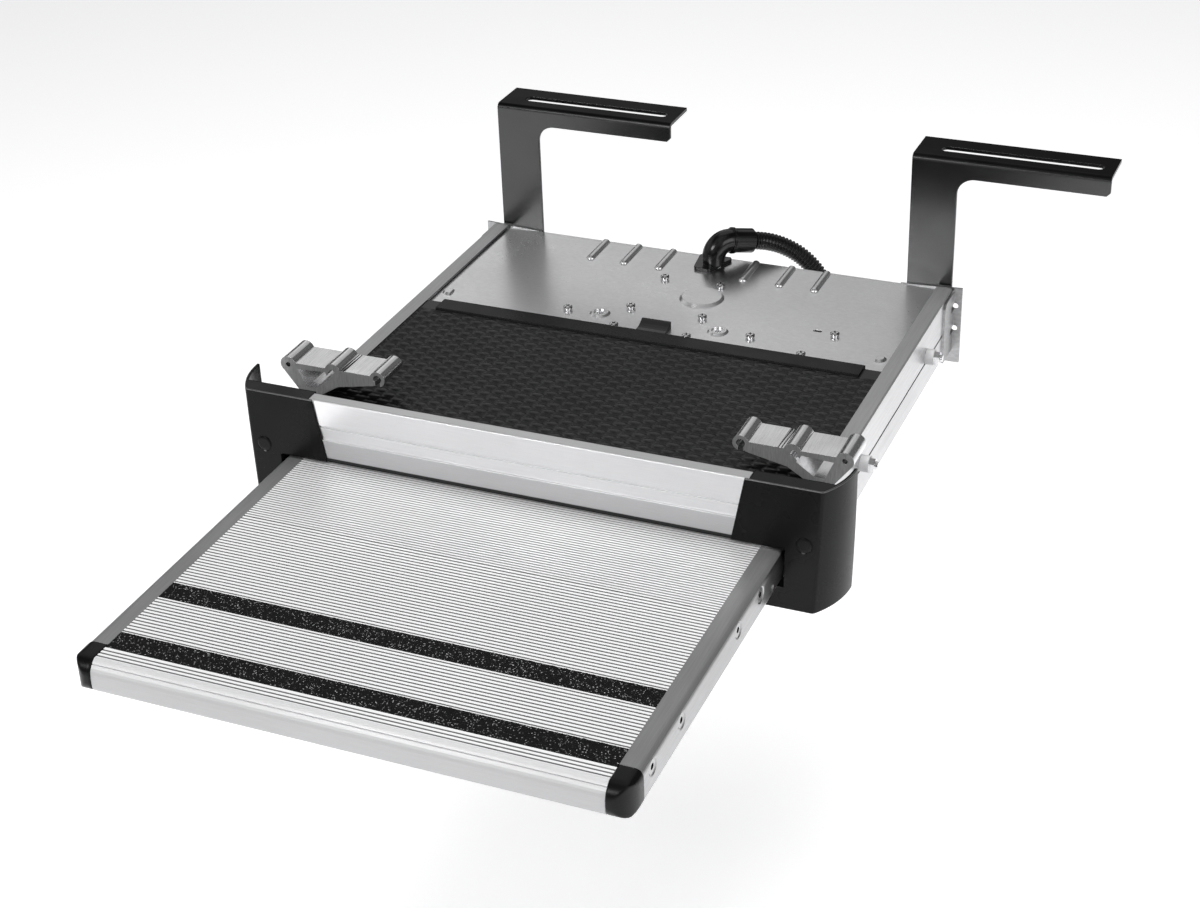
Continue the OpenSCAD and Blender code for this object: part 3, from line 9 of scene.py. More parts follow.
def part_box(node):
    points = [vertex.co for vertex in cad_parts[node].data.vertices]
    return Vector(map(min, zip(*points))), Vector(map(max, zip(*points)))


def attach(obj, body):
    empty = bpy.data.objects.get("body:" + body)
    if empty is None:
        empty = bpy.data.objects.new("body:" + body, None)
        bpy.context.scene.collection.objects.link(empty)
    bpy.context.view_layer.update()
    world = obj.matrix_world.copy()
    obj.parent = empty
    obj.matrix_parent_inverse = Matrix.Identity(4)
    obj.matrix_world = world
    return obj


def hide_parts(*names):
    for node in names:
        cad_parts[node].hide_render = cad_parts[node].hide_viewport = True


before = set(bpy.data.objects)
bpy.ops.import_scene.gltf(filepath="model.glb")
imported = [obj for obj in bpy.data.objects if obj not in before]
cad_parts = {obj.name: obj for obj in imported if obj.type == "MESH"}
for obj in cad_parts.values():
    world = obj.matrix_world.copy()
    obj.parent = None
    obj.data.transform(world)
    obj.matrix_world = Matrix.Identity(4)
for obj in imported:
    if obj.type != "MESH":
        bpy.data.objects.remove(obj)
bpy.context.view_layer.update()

# The drawing's own millimetres (x = 0 midline, y = 0 behind the fascia, z = 0 tread top)
# and the part's origin in them
ORIGIN = Vector((70.4, 399.5, 135.2))
MM = 0.001
SIDES = ("left", "right")
OUTWARD = {"left": -1, "right": 1}


def at(x, y, z):
    """A point given in the drawing's millimetres, in metres in the part's frame."""
    return (Vector((x, y, z)) - ORIGIN) * MM


def linked(name, data):
    """A new object with this data, linked into the scene."""
    obj = bpy.data.objects.new(name, data)
    bpy.context.scene.collection.objects.link(obj)
    return obj


# Camera, at the photograph's angle

CAM_AZIMUTH = math.radians(23.72)
CAM_ELEVATION = math.radians(29.76)
CAM_ROLL = math.radians(-2.06)
CAM_TARGET = at(26.73, 49.24, 0)
CAM_DISTANCE = 1.64569
SENSOR = 36.0
FOCAL_PX = 2168.51
IMAGE_W = 1200


def make_camera():
    back = Vector((
        math.sin(CAM_AZIMUTH) * math.cos(CAM_ELEVATION),
        -math.cos(CAM_AZIMUTH) * math.cos(CAM_ELEVATION),
        math.sin(CAM_ELEVATION),
    ))
    right = Vector((math.cos(CAM_AZIMUTH), math.sin(CAM_AZIMUTH), 0))
    up = back.cross(right)
    across = math.cos(CAM_ROLL) * right + math.sin(CAM_ROLL) * up
    upward = -math.sin(CAM_ROLL) * right + math.cos(CAM_ROLL) * up
    place = CAM_TARGET + back * CAM_DISTANCE
    data = bpy.data.cameras.new("camera")
    data.sensor_fit = "HORIZONTAL"
    data.sensor_width = SENSOR
    data.lens = FOCAL_PX / IMAGE_W * SENSOR
    data.clip_start = 0.05
    data.clip_end = 100
    camera = linked("camera", data)
    camera.matrix_world = Matrix((
        (across.x, upward.x, back.x, place.x),
        (across.y, upward.y, back.y, place.y),
        (across.z, upward.z, back.z, place.z),
        (0, 0, 0, 1),
    ))
    bpy.context.scene.camera = camera


make_camera()


# Meshes

def mesh_object(name, points, faces):
    mesh = bpy.data.meshes.new(name)
    mesh.from_pydata([tuple(map(float, p)) for p in points], [],
                     [tuple(map(int, f)) for f in faces])
    mesh.validate()
    mesh.update()
    mesh.shade_smooth()
    return linked(name, mesh)


def put(obj, body, materials, node):
    """The piece rides on a body, takes its materials, and stands for a CAD node, which it hides."""
    obj.data.materials.clear()
    for material in materials:
        obj.data.materials.append(material)
    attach(obj, body)
    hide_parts(node)


def apply_modifiers(obj):
    """The object's mesh becomes what its modifiers make of it."""
    bpy.context.view_layer.update()
    made = bpy.data.meshes.new_from_object(
        obj.evaluated_get(bpy.context.evaluated_depsgraph_get()))
    obj.modifiers.clear()
    obj.data = made
    return made


# Hose: the points of its middle line, in metres from the elbow's foot

ELBOW_FOOT = Vector((-0.0654, -0.0395, -0.1097))
ROUTE = [
    (0.0136, 0.0141, 0.0119), (0.0218, 0.0226, 0.0094), (0.0301, 0.0311, 0.0068),
    (0.039, 0.0386, 0.0035), (0.0485, 0.0444, -0.0012), (0.0581, 0.0485, -0.0072),
    (0.0672, 0.0512, -0.0147), (0.0753, 0.0526, -0.0236), (0.0818, 0.0532, -0.0337),
    (0.0865, 0.0534, -0.0449), (0.089, 0.0534, -0.0567), (0.0902, 0.0534, -0.0687),
    (0.0909, 0.0534, -0.0808), (0.0912, 0.0534, -0.0929), (0.0912, 0.0534, -0.105),
    (0.0912, 0.0534, -0.117), (0.0912, 0.0534, -0.129), (0.0912, 0.0534, -0.141),
    (0.0912, 0.0534, -0.153), (0.0912, 0.0534, -0.165),
]
CURVE_STEPS = 40
HOSE_R = 0.008
HOSE_ROOT_R = 0.0067
HOSE_BORE_R = 0.006
HOSE_RIBS = 72
RIB_BLUNTNESS = 2.2
RINGS_PER_RIB = 8
HOSE_SIDES = 36
SWEEP_START = (0.7, -0.7, 0)


def route_points(count):
    """Points at even distances on the smooth curve through the route."""
    r = [Vector(p) for p in ROUTE]
    r = [2 * r[0] - r[1]] + r + [2 * r[-1] - r[-2]]
    dense = []
    for i in range(1, len(r) - 2):
        a, b, c, d = r[i - 1:i + 3]
        for k in range(CURVE_STEPS):
            f = k / CURVE_STEPS
            dense.append(0.5 * (2 * b + (c - a) * f + (2 * a - 5 * b + 4 * c - d) * f * f
                                + (3 * b - a - 3 * c + d) * f ** 3))
    dense.append(r[-2])
    dense = np.array([ELBOW_FOOT + p for p in dense])
    run = np.concatenate([[0], np.cumsum(np.linalg.norm(np.diff(dense, axis=0), axis=1))])
    want = np.linspace(0, run[-1], count)
    return np.stack([np.interp(want, run, dense[:, k]) for k in range(3)], axis=1), run[-1]


def sweep(points, radii, sides):
    """A tube of the given radius at each point, with a frame that doesn't twist."""
    way = np.gradient(points, axis=0)
    way /= np.linalg.norm(way, axis=1)[:, None]
    side = np.cross(way[0], SWEEP_START)
    side /= np.linalg.norm(side)
    turn = np.linspace(0, 2 * math.pi, sides, endpoint=False)
    rows = []
    for p, w, r in zip(points, way, radii):
        side = side - w * np.dot(side, w)
        side /= np.linalg.norm(side)
        other = np.cross(w, side)
        rows.append(p + r * (np.cos(turn)[:, None] * side + np.sin(turn)[:, None] * other))
    return np.concatenate(rows)


def tube_faces(rings, sides, base=0, inward=False):
    faces = []
    for i in range(rings - 1):
        for k in range(sides):
            a, b = base + i * sides + k, base + i * sides + (k + 1) % sides
            f = (a, b, b + sides, a + sides)
            faces.append(f[::-1] if inward else f)
    return faces


def make_hose():
    """Ribbed outside, plain bore, and a ring of faces at each end."""
    count = HOSE_RIBS * RINGS_PER_RIB + 1
    points, length = route_points(count)
    along = np.arange(count) / RINGS_PER_RIB
    swell = 1 - np.abs(np.cos(math.pi * along)) ** RIB_BLUNTNESS
    radii = HOSE_ROOT_R + (HOSE_R - HOSE_ROOT_R) * swell
    outer = sweep(points, radii, HOSE_SIDES)
    inner = sweep(points[::RINGS_PER_RIB], np.full(HOSE_RIBS + 1, HOSE_BORE_R), HOSE_SIDES)
    n, base = HOSE_SIDES, len(outer)
    faces = tube_faces(count, n) + tube_faces(HOSE_RIBS + 1, n, base, inward=True)
    for k in range(n):
        j = (k + 1) % n
        faces.append((j, k, base + k, base + j))
        a, b = (count - 1) * n, base + HOSE_RIBS * n
        faces.append((a + k, a + j, b + j, b + k))
    return mesh_object("ribbed_hose", np.concatenate([outer, inner]), faces), points, length


hose, hose_path, hose_length = make_hose()


# Materials

# Where a Mix node keeps its two colours and their blend
MIX_A, MIX_B, MIX_RESULT = 6, 7, 2
NOISE_LOW, NOISE_HIGH = 0.35, 0.65
GLOSS_LOW, GLOSS_HIGH = 0.3, 0.7
BEVEL_SAMPLES = 6
EVEN = (1, 1, 1)
ALONG_X = (0.04, 1, 1)
ALONG_Y = (1, 0.03, 1)


def add_node(tree, kind, inputs=None, **settings):
    """A node in the tree, each of its inputs linked to a socket or set to a value."""
    n = tree.nodes.new(kind)
    for key, value in settings.items():
        setattr(n, key, value)
    for key, value in (inputs or {}).items():
        if isinstance(value, bpy.types.NodeSocket):
            tree.links.new(value, n.inputs[key])
        else:
            n.inputs[key].default_value = value
    return n


class Maker:
    """Builds one node material, with a Principled surface at its end."""

    def __init__(self, name):
        self.material = bpy.data.materials.new(name)
        self.material.use_nodes = True
        self.tree = self.material.node_tree
        self.tree.nodes.clear()
        self.out = self.tree.nodes.new("ShaderNodeOutputMaterial")
        self.surface = self.tree.nodes.new("ShaderNodeBsdfPrincipled")
        self.tree.links.new(self.surface.outputs[0], self.out.inputs[0])
        self.coords = self.tree.nodes.new("ShaderNodeTexCoord")

    def node(self, kind, inputs=None, **settings):
        return add_node(self.tree, kind, inputs, **settings)

    def noise(self, scale, stretch=EVEN, detail=3.0):
        place = self.node("ShaderNodeMapping", {
            "Vector": self.coords.outputs["Object"], "Scale": stretch}).outputs[0]
        return self.node("ShaderNodeTexNoise", {
            "Vector": place, "Scale": scale, "Detail": detail}).outputs[0]

    def ramp(self, value, low, high, to_low, to_high):
        return self.node("ShaderNodeMapRange", {
            "Value": value, "From Min": low, "From Max": high, "To Min": to_low,
            "To Max": to_high}).outputs[0]

    def stretch(self, noise, to_low, to_high):
        """The middle range of a noise, where nearly all of it lies, set to the two values."""
        return self.ramp(noise, NOISE_LOW, NOISE_HIGH, to_low, to_high)

    def mix(self, value, a, b):
        return self.node("ShaderNodeMix", {"Factor": value, MIX_A: a, MIX_B: b},
                         data_type="RGBA").outputs[MIX_RESULT]

    def blend(self, value, dark, light):
        return self.mix(value, (*dark, 1), (*light, 1))

    def maths(self, operation, a, b):
        return self.node("ShaderNodeMath", {0: a, 1: b}, operation=operation).outputs[0]

    def both(self, streak, slow, share):
        """The streaks at their share, and the slow noise for the rest."""
        return self.maths("ADD", self.maths("MULTIPLY", streak, share),
                          self.maths("MULTIPLY", slow, 1 - share))

    def link(self, value, socket):
        self.tree.links.new(value, self.surface.inputs[socket])

    def set(self, **values):
        for key, value in values.items():
            self.surface.inputs[key.replace("_", " ")].default_value = value

    def relief(self, height, strength, depth, edge=0.0):
        """Bump on the surface, and edges rounded by the given radius."""
        bump = self.node("ShaderNodeBump", {
            "Strength": strength, "Distance": depth, "Height": height})
        if edge:
            rounded = self.node("ShaderNodeBevel", {"Radius": edge}, samples=BEVEL_SAMPLES)
            self.tree.links.new(rounded.outputs[0], bump.inputs["Normal"])
        self.link(bump.outputs[0], "Normal")


def metal(name, dark, light, rough, spread, grain, relief, edge, stretch=EVEN, metallic=1.0,
          mottle=8.0, streaks=0.6, depth=0.0002):
    """Metal with streaks along one way, slow mottling and a fine grain."""
    m = Maker(name)
    streak = m.noise(grain, stretch, detail=4)
    value = m.both(streak, m.noise(mottle), streaks)
    m.link(m.blend(m.stretch(value, 0, 1), dark, light), "Base Color")
    m.link(m.stretch(value, rough + spread, rough - spread), "Roughness")
    m.set(Metallic=metallic)
    m.relief(streak, relief, depth, edge)
    return m.material


def plastic(name, dark, light, rough, spread, grain, relief, edge, depth=0.0001, specular=0.5,
            ior=1.5, mottle=30.0):
    """Moulded plastic with a fine grain, and slow changes in its gloss."""
    m = Maker(name)
    fine = m.noise(grain, detail=2)
    slow = m.noise(mottle)
    m.link(m.blend(m.stretch(slow, 0, 1), dark, light), "Base Color")
    m.link(m.ramp(slow, GLOSS_LOW, GLOSS_HIGH, rough + spread, rough - spread), "Roughness")
    m.set(Specular_IOR_Level=specular, IOR=ior)
    m.relief(fine, relief, depth, edge)
    return m.material


def grey(v):
    return (v, v, v * 1.01)


TREAD_TOP = at(0, 0, 0).z
RIBS_START = at(0, -311, 0).y
RIBS_FADE = 0.0002
GROOVE = 0.0009
GROOVE_FROM = 0.00003
GROOVE_SHADE_FULL = 0.00025
GROOVE_NEAR = 1.1
GROOVE_END = 1.3
PLANK_ROUGH = 0.42
PLANK_SPREAD = 0.04
PLANK_METALLIC = 0.2
# painted shade in the grooves, darker on the front plank than on the rear one
FRONT_GROOVE_PAINTED_SHADE, REAR_GROOVE_PAINTED_SHADE = 0.26, 0.4


def plank_metal(name, painted_groove_shade):
    """Matt silver metal with fine draw lines, with painted shade down in the grooves between its
    ribs, and a nose in front of them painted darker as shade."""
    m = Maker(name)
    value = m.both(m.noise(scale=1500, stretch=ALONG_X, detail=4), m.noise(scale=6), share=0.5)
    shade = m.stretch(value, 0, 1)
    rib = m.blend(shade, grey(0.88), grey(0.94))
    # the nose is painted darker than the ribs: painted shade on its front
    nose = m.blend(shade, grey(0.67), grey(0.71))
    groove = m.blend(shade, grey(0.84 * painted_groove_shade), grey(0.92 * painted_groove_shade))
    place = m.node("ShaderNodeSeparateXYZ", {"Vector": m.coords.outputs["Object"]})
    y, z = place.outputs[1], place.outputs[2]
    behind = m.ramp(y, RIBS_START - RIBS_FADE, RIBS_START + RIBS_FADE, 0, 1)
    # mask of the painted shade: low in a groove, behind the nose
    deep = m.ramp(z, TREAD_TOP - GROOVE_SHADE_FULL, TREAD_TOP - GROOVE_FROM, 1, 0)
    near = m.ramp(z, TREAD_TOP - GROOVE_END * GROOVE, TREAD_TOP - GROOVE_NEAR * GROOVE, 0, 1)
    painted_groove_mask = m.maths("MULTIPLY", m.maths("MULTIPLY", deep, near), behind)
    m.link(m.mix(painted_groove_mask, m.mix(behind, nose, rib), groove), "Base Color")
    m.link(m.stretch(value, PLANK_ROUGH + PLANK_SPREAD, PLANK_ROUGH - PLANK_SPREAD), "Roughness")
    m.set(Metallic=PLANK_METALLIC)
    return m.material


BRUSHED = dict(spread=0.04, grain=1100, relief=0.1, edge=0.0005, stretch=ALONG_Y)
DULL_TOP = dict(BRUSHED, rough=0.42, metallic=0.35)
ANODISED = dict(rough=0.3, spread=0.02, grain=1500, relief=0.01, edge=0.0006, stretch=ALONG_X,
                metallic=0.95)
HARDWARE = dict(spread=0.05, grain=900, relief=0.05)

zinc = metal("zinc_sheet", grey(0.86), grey(0.94), rough=0.3, spread=0.03, grain=700,
             relief=0.01, edge=0.0004, stretch=(0.4, 1, 1))
mill = metal("mill_aluminium", grey(0.62), grey(0.7), rough=0.34, spread=0.05, grain=900,
             relief=0.12, edge=0.0005, stretch=ALONG_Y)
arm_metal = metal("arm_aluminium", grey(0.41), grey(0.46), rough=0.34, **BRUSHED)
# painted shade: the upper sides of the rails and arms are darker copies of their metal
rail_top = metal("painted_shade_upper_side", grey(0.28), grey(0.33), **DULL_TOP)
arm_top = metal("painted_shade_arm_top", grey(0.2), grey(0.24), **DULL_TOP)
# painted shade: the fascia's upper edge and foot are darker copies of its metal
lip_painted_shade = metal("anodised_upper_edge_painted_shade", grey(0.64), grey(0.68), **ANODISED)
foot_painted_shade = metal("anodised_foot_painted_shade", grey(0.6), grey(0.64), **ANODISED)
ear_zinc = metal("dull_zinc_sheet", grey(0.36), grey(0.48), rough=0.36, spread=0.06, grain=420,
                 relief=0.1, edge=0.0003, stretch=(0.5, 1, 1))
fascia_metal = metal("anodised_aluminium", grey(0.9), grey(0.95), **ANODISED)
front_ribs = plank_metal("ribbed_aluminium", FRONT_GROOVE_PAINTED_SHADE)
rear_ribs = plank_metal("fine_ribbed_aluminium", REAR_GROOVE_PAINTED_SHADE)
cut_face = metal("sawn_face", grey(0.3), grey(0.5), rough=0.42, spread=0.08, grain=1100,
                 relief=0.5, edge=0.0004, stretch=(1, 1, 0.1), metallic=0.3)
extruded = metal("sawn_block_skin", grey(0.8), grey(0.88), rough=0.24, spread=0.04, grain=1300,
                 relief=0.015, edge=0.0004, stretch=ALONG_Y, mottle=60)
fastener = metal("zinc_fasteners", grey(0.7), grey(0.9), rough=0.2, edge=0.0003, **HARDWARE)
screw_head = metal("zinc_screw_heads", grey(0.4), grey(0.5), rough=0.3, edge=0.0003, **HARDWARE)
# painted shade: near black for the screws' recesses and the blocks' scribe lines
recess = metal("screw_recess_painted_shade", grey(0.02), grey(0.05), rough=0.5, edge=0.0002, metallic=0.5,
               **HARDWARE)
turned = metal("turned_steel", grey(0.42), grey(0.56), rough=0.3, spread=0.05, grain=1200,
               relief=0.2, edge=0.0003, stretch=ALONG_X)
cast = metal("cast_housing", grey(0.2), grey(0.3), rough=0.5, spread=0.06, grain=700, relief=0.5,
             edge=0.0005)
brass = metal("brass_worm", (0.5, 0.34, 0.12), (0.7, 0.5, 0.2), rough=0.3, spread=0.05, grain=900,
              relief=0.2, edge=0.0002, stretch=ALONG_X)

BLACK = (grey(0.003), grey(0.005))
SOFT_BLACK = (grey(0.004), grey(0.006))
COATED = dict(spread=0.03, grain=1600, relief=0.08, edge=0.001)

powder = plastic("black_powder_coat", *BLACK, rough=0.22, specular=0.3, **COATED)
# painted shade and sheen: copies of the powder coat, with weaker reflection on the bracket tops
# and stronger on the fronts
powder_top = plastic("black_powder_top_painted_shade", *BLACK, rough=0.2, specular=0.04, **COATED)
powder_front = plastic("black_powder_painted_sheen", grey(0.004), grey(0.007), rough=0.24, specular=0.8,
                       ior=1.55, **COATED)
grained = plastic("black_grained_plastic", *SOFT_BLACK, rough=0.28, spread=0.04, grain=2200,
                  relief=0.12, edge=0.0016, specular=0.16)
# painted highlight: a lighter, glossier copy for the covers' rounded top edge
edge_painted_highlight = plastic("black_edge_painted_highlight", grey(0.02), grey(0.03), rough=0.3, spread=0.03,
                       grain=2200, relief=0.05, edge=0, specular=1.0, ior=1.7)
smooth = plastic("black_smooth_plastic", *BLACK, rough=0.26, spread=0.04, grain=900, relief=0.08,
                 edge=0.0006, specular=0.2)
glossy = plastic("black_glossy_plastic", *BLACK, rough=0.16, spread=0.03, grain=900, relief=0.05,
                 edge=0.0005)
rubber = plastic("black_rubber", grey(0.006), grey(0.009), rough=0.34, spread=0.04, grain=2600,
                 relief=0.1, edge=0.0003, specular=0.55)
bar_rubber = plastic("black_bar", *SOFT_BLACK, rough=0.28, spread=0.04, grain=2600, relief=0.08,
                     edge=0.0006, specular=0.16)
hose_plastic = plastic("black_hose_plastic", *BLACK, rough=0.22, spread=0.04, grain=1500,
                       relief=0.08, edge=0, specular=0.4)
nylon = plastic("grey_nylon", grey(0.3), grey(0.36), rough=0.5, spread=0.05, grain=900,
                relief=0.3, edge=0.0005, depth=0.0002)
spacer = plastic("light_spacer", grey(0.6), grey(0.7), rough=0.4, spread=0.05, grain=900,
                 relief=0.2, edge=0.0005, depth=0.0002)

GRAIN_SCALE = 1500.0
GLINT_PAINT_FROM, GLINT_PAINT_FULL = 0.93, 0.98


def grit_material():
    """Dark grains, of which a few are painted light as glints."""
    m = Maker("grit")
    grains = m.node("ShaderNodeTexVoronoi", {
        "Vector": m.coords.outputs["Object"], "Scale": GRAIN_SCALE})
    pick = m.node("ShaderNodeSeparateColor", {"Color": grains.outputs["Color"]})
    # painted glint: a few grains take a light colour
    painted_glint = m.ramp(pick.outputs[0], GLINT_PAINT_FROM, GLINT_PAINT_FULL, 0.0, 1.0)
    m.link(m.blend(painted_glint, grey(0.005), grey(0.34)), "Base Color")
    m.link(m.ramp(pick.outputs[1], 0, 1, to_low=0.3, to_high=0.7), "Roughness")
    m.set(Specular_IOR_Level=0.2)
    m.relief(grains.outputs["Distance"], strength=0.8, depth=0.0005)
    return m.material


grit = grit_material()

NODE_MATERIALS = {
    zinc: ["top_plate", "rear_panel", "drive_plate", "idler_bracket", "cover_brackets"],
    ear_zinc: ["left_ear_plate", "right_ear_plate"],
    mill: ["left_rail", "right_rail"],
    arm_metal: ["left_arm", "right_arm", "rear_crossbar"],
    fascia_metal: ["front_fascia"],
    front_ribs: ["front_plank"],
    rear_ribs: ["rear_plank"],
    extruded: ["left_adapter_block", "right_adapter_block"],
    powder: ["left_bracket", "right_bracket"],
    grained: ["left_end_cover", "right_end_cover", "cover_plugs"],
    smooth: ["left_nose_cap", "right_nose_cap", "motor_end_cap", "control_box", "limit_switches"],
    glossy: ["conduit_elbow", "conduit_collar", "mat_tab"],
    rubber: ["rubber_mat", "fascia_seal", "drive_belt"],
    bar_rubber: ["mat_strip"],
    hose_plastic: ["conduit_hose", "hose_connector"],
    grit: ["front_grip_strip", "rear_grip_strip"],
    fastener: ["plate_screws", "bracket_bolts", "rail_bolts", "adapter_screws", "arm_screws"],
    nylon: ["front_guide_blocks", "slide_shoes", "worm_wheel"],
    cast: ["gearbox_case", "gearbox_lid"],
    turned: ["motor_can", "belt_clamp", "drive_shaft", "drive_pulley", "idler_pulley"],
    brass: ["worm_shaft"],
}
for material, names in NODE_MATERIALS.items():
    for name in names:
        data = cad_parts[name].data
        data.materials.clear()
        data.materials.append(material)

# Hose on its hanging route
put(hose, "housing", [hose_plastic], "conduit_hose")


# Rubber mat with a woven emboss: pillows that pass over thin cords, laid like bricks

CORD_STEP = 0.00994
ROW_STEP = 0.01107
FIRST_CORD = at(2.55, 0, 0).x
FIRST_ROW = at(0, 95, 0).y
STEPS = 12
END_GAP = 0.3
MAT_DEPTH = 0.0017
CORD_HALF = 0.001
CORD_RISE = 0.4
PILLOW_AT = 0.0046
PILLOW_RIGHT = 0.0048
PILLOW_LEFT = 0.0086
PILLOW_HALF = 0.0036
PILLOW_CROWN = 0.6
BLUNT_END, POINTED_END = 4, 1.5
FALL_RIGHT, FALL_LEFT = 0.2, 0.7
TINY = 1e-6
RIM_FADE = 0.0008


def stations(low, high, first, step):
    """Even places in step with the pattern, and the two ends."""
    k0 = math.ceil((low - first) / step + END_GAP)
    k1 = math.floor((high - first) / step - END_GAP)
    return np.concatenate([[low], first + step * np.arange(k0, k1 + 1), [high]])


def closed_grid(name, xs, ys, foot, height):
    """A closed slab whose upper side follows height(x, y), down to the foot."""
    nx, ny = len(xs), len(ys)
    x, y = np.meshgrid(xs, ys)
    z = height(x, y)
    top = np.stack([x.ravel(), y.ravel(), z.ravel()], axis=1)
    faces = [(j * nx + i, j * nx + i + 1, (j + 1) * nx + i + 1, (j + 1) * nx + i)
             for j in range(ny - 1) for i in range(nx - 1)]
    rim = list(range(nx)) + [j * nx + nx - 1 for j in range(1, ny)] \
        + [(ny - 1) * nx + i for i in range(nx - 2, -1, -1)] \
        + [j * nx for j in range(ny - 2, 0, -1)]
    base = len(top)
    skirt = top[rim].copy()
    skirt[:, 2] = foot
    m = len(rim)
    for k in range(m):
        j = (k + 1) % m
        faces.append((rim[k], base + k, base + j, rim[j]))
    faces.append(tuple(base + k for k in range(m - 1, -1, -1)))
    return mesh_object(name, np.concatenate([top, skirt]), faces)


def pillow(x, y):
    """Height of one pillow from its middle: blunt to the right, pointed to the left."""
    right = x > 0
    t = np.where(right, x / PILLOW_RIGHT, -x / PILLOW_LEFT).clip(0, 1)
    half = PILLOW_HALF * np.where(right, (1 - t ** BLUNT_END) ** 0.5, 1 - t ** POINTED_END)
    along = np.where(right, 1 - FALL_RIGHT * t ** 2, 1 - FALL_LEFT * t ** POINTED_END)
    across = 1 - (y / np.maximum(half, TINY)) ** 2
    return along * across.clip(0) ** PILLOW_CROWN


def weave(x, y):
    """Height of the emboss, 0 in its hollows and 1 on its pillows."""
    place = (x - FIRST_CORD) / CORD_STEP
    gap = np.abs(place - np.round(place)) * CORD_STEP
    best = CORD_RISE * (1 - (gap / CORD_HALF) ** 2).clip(0) ** 0.5
    for shift in (-1, 0, 1):
        c = np.floor(place) + shift
        row = (y - FIRST_ROW) / ROW_STEP - (c % 2) / 2
        dy = (row - np.round(row)) * ROW_STEP
        best = np.maximum(best, pillow(x - (FIRST_CORD + c * CORD_STEP + PILLOW_AT), dy))
    return best


mat_low, mat_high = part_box("rubber_mat")
bar_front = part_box("mat_strip")[0].y


def mat_height(x, y):
    """The emboss, which fades out towards the mat's rim and the bar."""
    edge = np.minimum.reduce([x - mat_low.x, mat_high.x - x, y - mat_low.y, bar_front - y])
    return mat_high.z - MAT_DEPTH * (1 - weave(x, y)) * (edge / RIM_FADE).clip(0, 1)


mat = closed_grid("quilted_mat",
                  stations(mat_low.x, mat_high.x, FIRST_CORD, CORD_STEP / STEPS),
                  stations(mat_low.y, mat_high.y, FIRST_ROW, ROW_STEP / STEPS),
                  mat_low.z, mat_height)
put(mat, "housing", [rubber], "rubber_mat")


# Grip strips: grains of grit on a thin band

GRIT_STEP = 0.0008
GRIT_RISE = 0.0005
GRIT_SINK = 0.0001


def make_grip(name, node, seed):
    low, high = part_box(node)
    rng = np.random.default_rng(seed)

    def height(x, y):
        return high.z + (rng.random(x.shape) ** 2) * GRIT_RISE - GRIT_SINK

    strip = closed_grid(name, stations(low.x, high.x, low.x, GRIT_STEP),
                        stations(low.y, high.y, low.y, GRIT_STEP), low.z, height)
    strip.data.shade_flat()
    put(strip, "tread", [grit], node)


make_grip("front_grip", "front_grip_strip", seed=3)
make_grip("rear_grip", "rear_grip_strip", seed=4)


# Copies of nodes whose faces carry more than one material: other finishes, painted shade and
# painted sheen

def refinished(name, node, body, materials, pick=lambda face: 0):
    """Copy of a node, where pick(face) says which of the materials the face takes."""
    obj = linked(name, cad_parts[node].data.copy())
    put(obj, body, materials, node)
    for face in obj.data.polygons:
        face.material_index = int(pick(face))
    return obj


MIDDLE_X = at(0, 0, 0).x
SQUARE = 0.9
SAWN = 0.999
SCRIBE_X = 0.1779
SCRIBE_APART = 0.0012
SCRIBES = [SCRIBE_X - SCRIBE_APART, SCRIBE_X + SCRIBE_APART]
SCRIBE_HALF = 0.0005
WEB_TOP = at(0, 0, 46.9).z
WEB_SLACK = 0.0006
TOP_SHADE_UP = 0.6
COATED_UP = 0.7
FOOT_TOP = at(0, 0, 17).z
PLATE_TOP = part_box("rear_panel")[1].z
EAR_SLACK = 0.002


def block_part(face):
    """Sawn ends, scribe lines in the web's top painted dark as shade, and the extruded skin."""
    if abs(face.normal.y) > SAWN:
        return 1
    x = abs(face.center.x - MIDDLE_X)
    in_line = min(abs(x - line) for line in SCRIBES) < SCRIBE_HALF
    return 2 if in_line and abs(face.center.z - WEB_TOP) < WEB_SLACK else 0


def top_shade_part(face):
    """The upper side of an arm or a rail, which takes the darker copy: painted shade."""
    return face.normal.z > TOP_SHADE_UP


def bracket_part(face):
    """The bracket's top, with weaker reflection as painted shade, its front, glossier as a
    painted sheen, and the rest.
    """
    if face.normal.z > COATED_UP:
        return 1
    return 2 if face.normal.y < -SQUARE else 0


def fascia_part(face):
    """The fascia's upper edge and its foot, both painted darker as shade, and the rest."""
    if face.normal.z > SQUARE:
        return 1
    return 2 if face.center.z < FOOT_TOP else 0


for side in SIDES:
    refinished(side + "_block", side + "_adapter_block", "housing",
               [extruded, cut_face, recess], block_part)
    refinished(side + "_arm_skin", side + "_arm", "tread",
               [arm_metal, arm_top], top_shade_part)
    refinished(side + "_rail_skin", side + "_rail", "housing",
               [mill, rail_top], top_shade_part)
for side in SIDES:
    refinished(side + "_leg", side + "_bracket", "housing",
               [powder, powder_top, powder_front], bracket_part)
refinished("fascia_skin", "front_fascia", "housing",
           [fascia_metal, lip_painted_shade, foot_painted_shade], fascia_part)

# The ears end level with the top plate between the rails, beside the bracket legs
for side in SIDES:
    ear = refinished(side + "_ear", side + "_ear_plate", "housing", [ear_zinc])
    rail_low, rail_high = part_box(side + "_rail")
    rail_inner = rail_high if side == "left" else rail_low
    for v in ear.data.vertices:
        if abs(v.co.x - MIDDLE_X) < abs(rail_inner.x - MIDDLE_X) - EAR_SLACK:
            v.co.z = min(v.co.z, PLATE_TOP)


# Screws and bolts

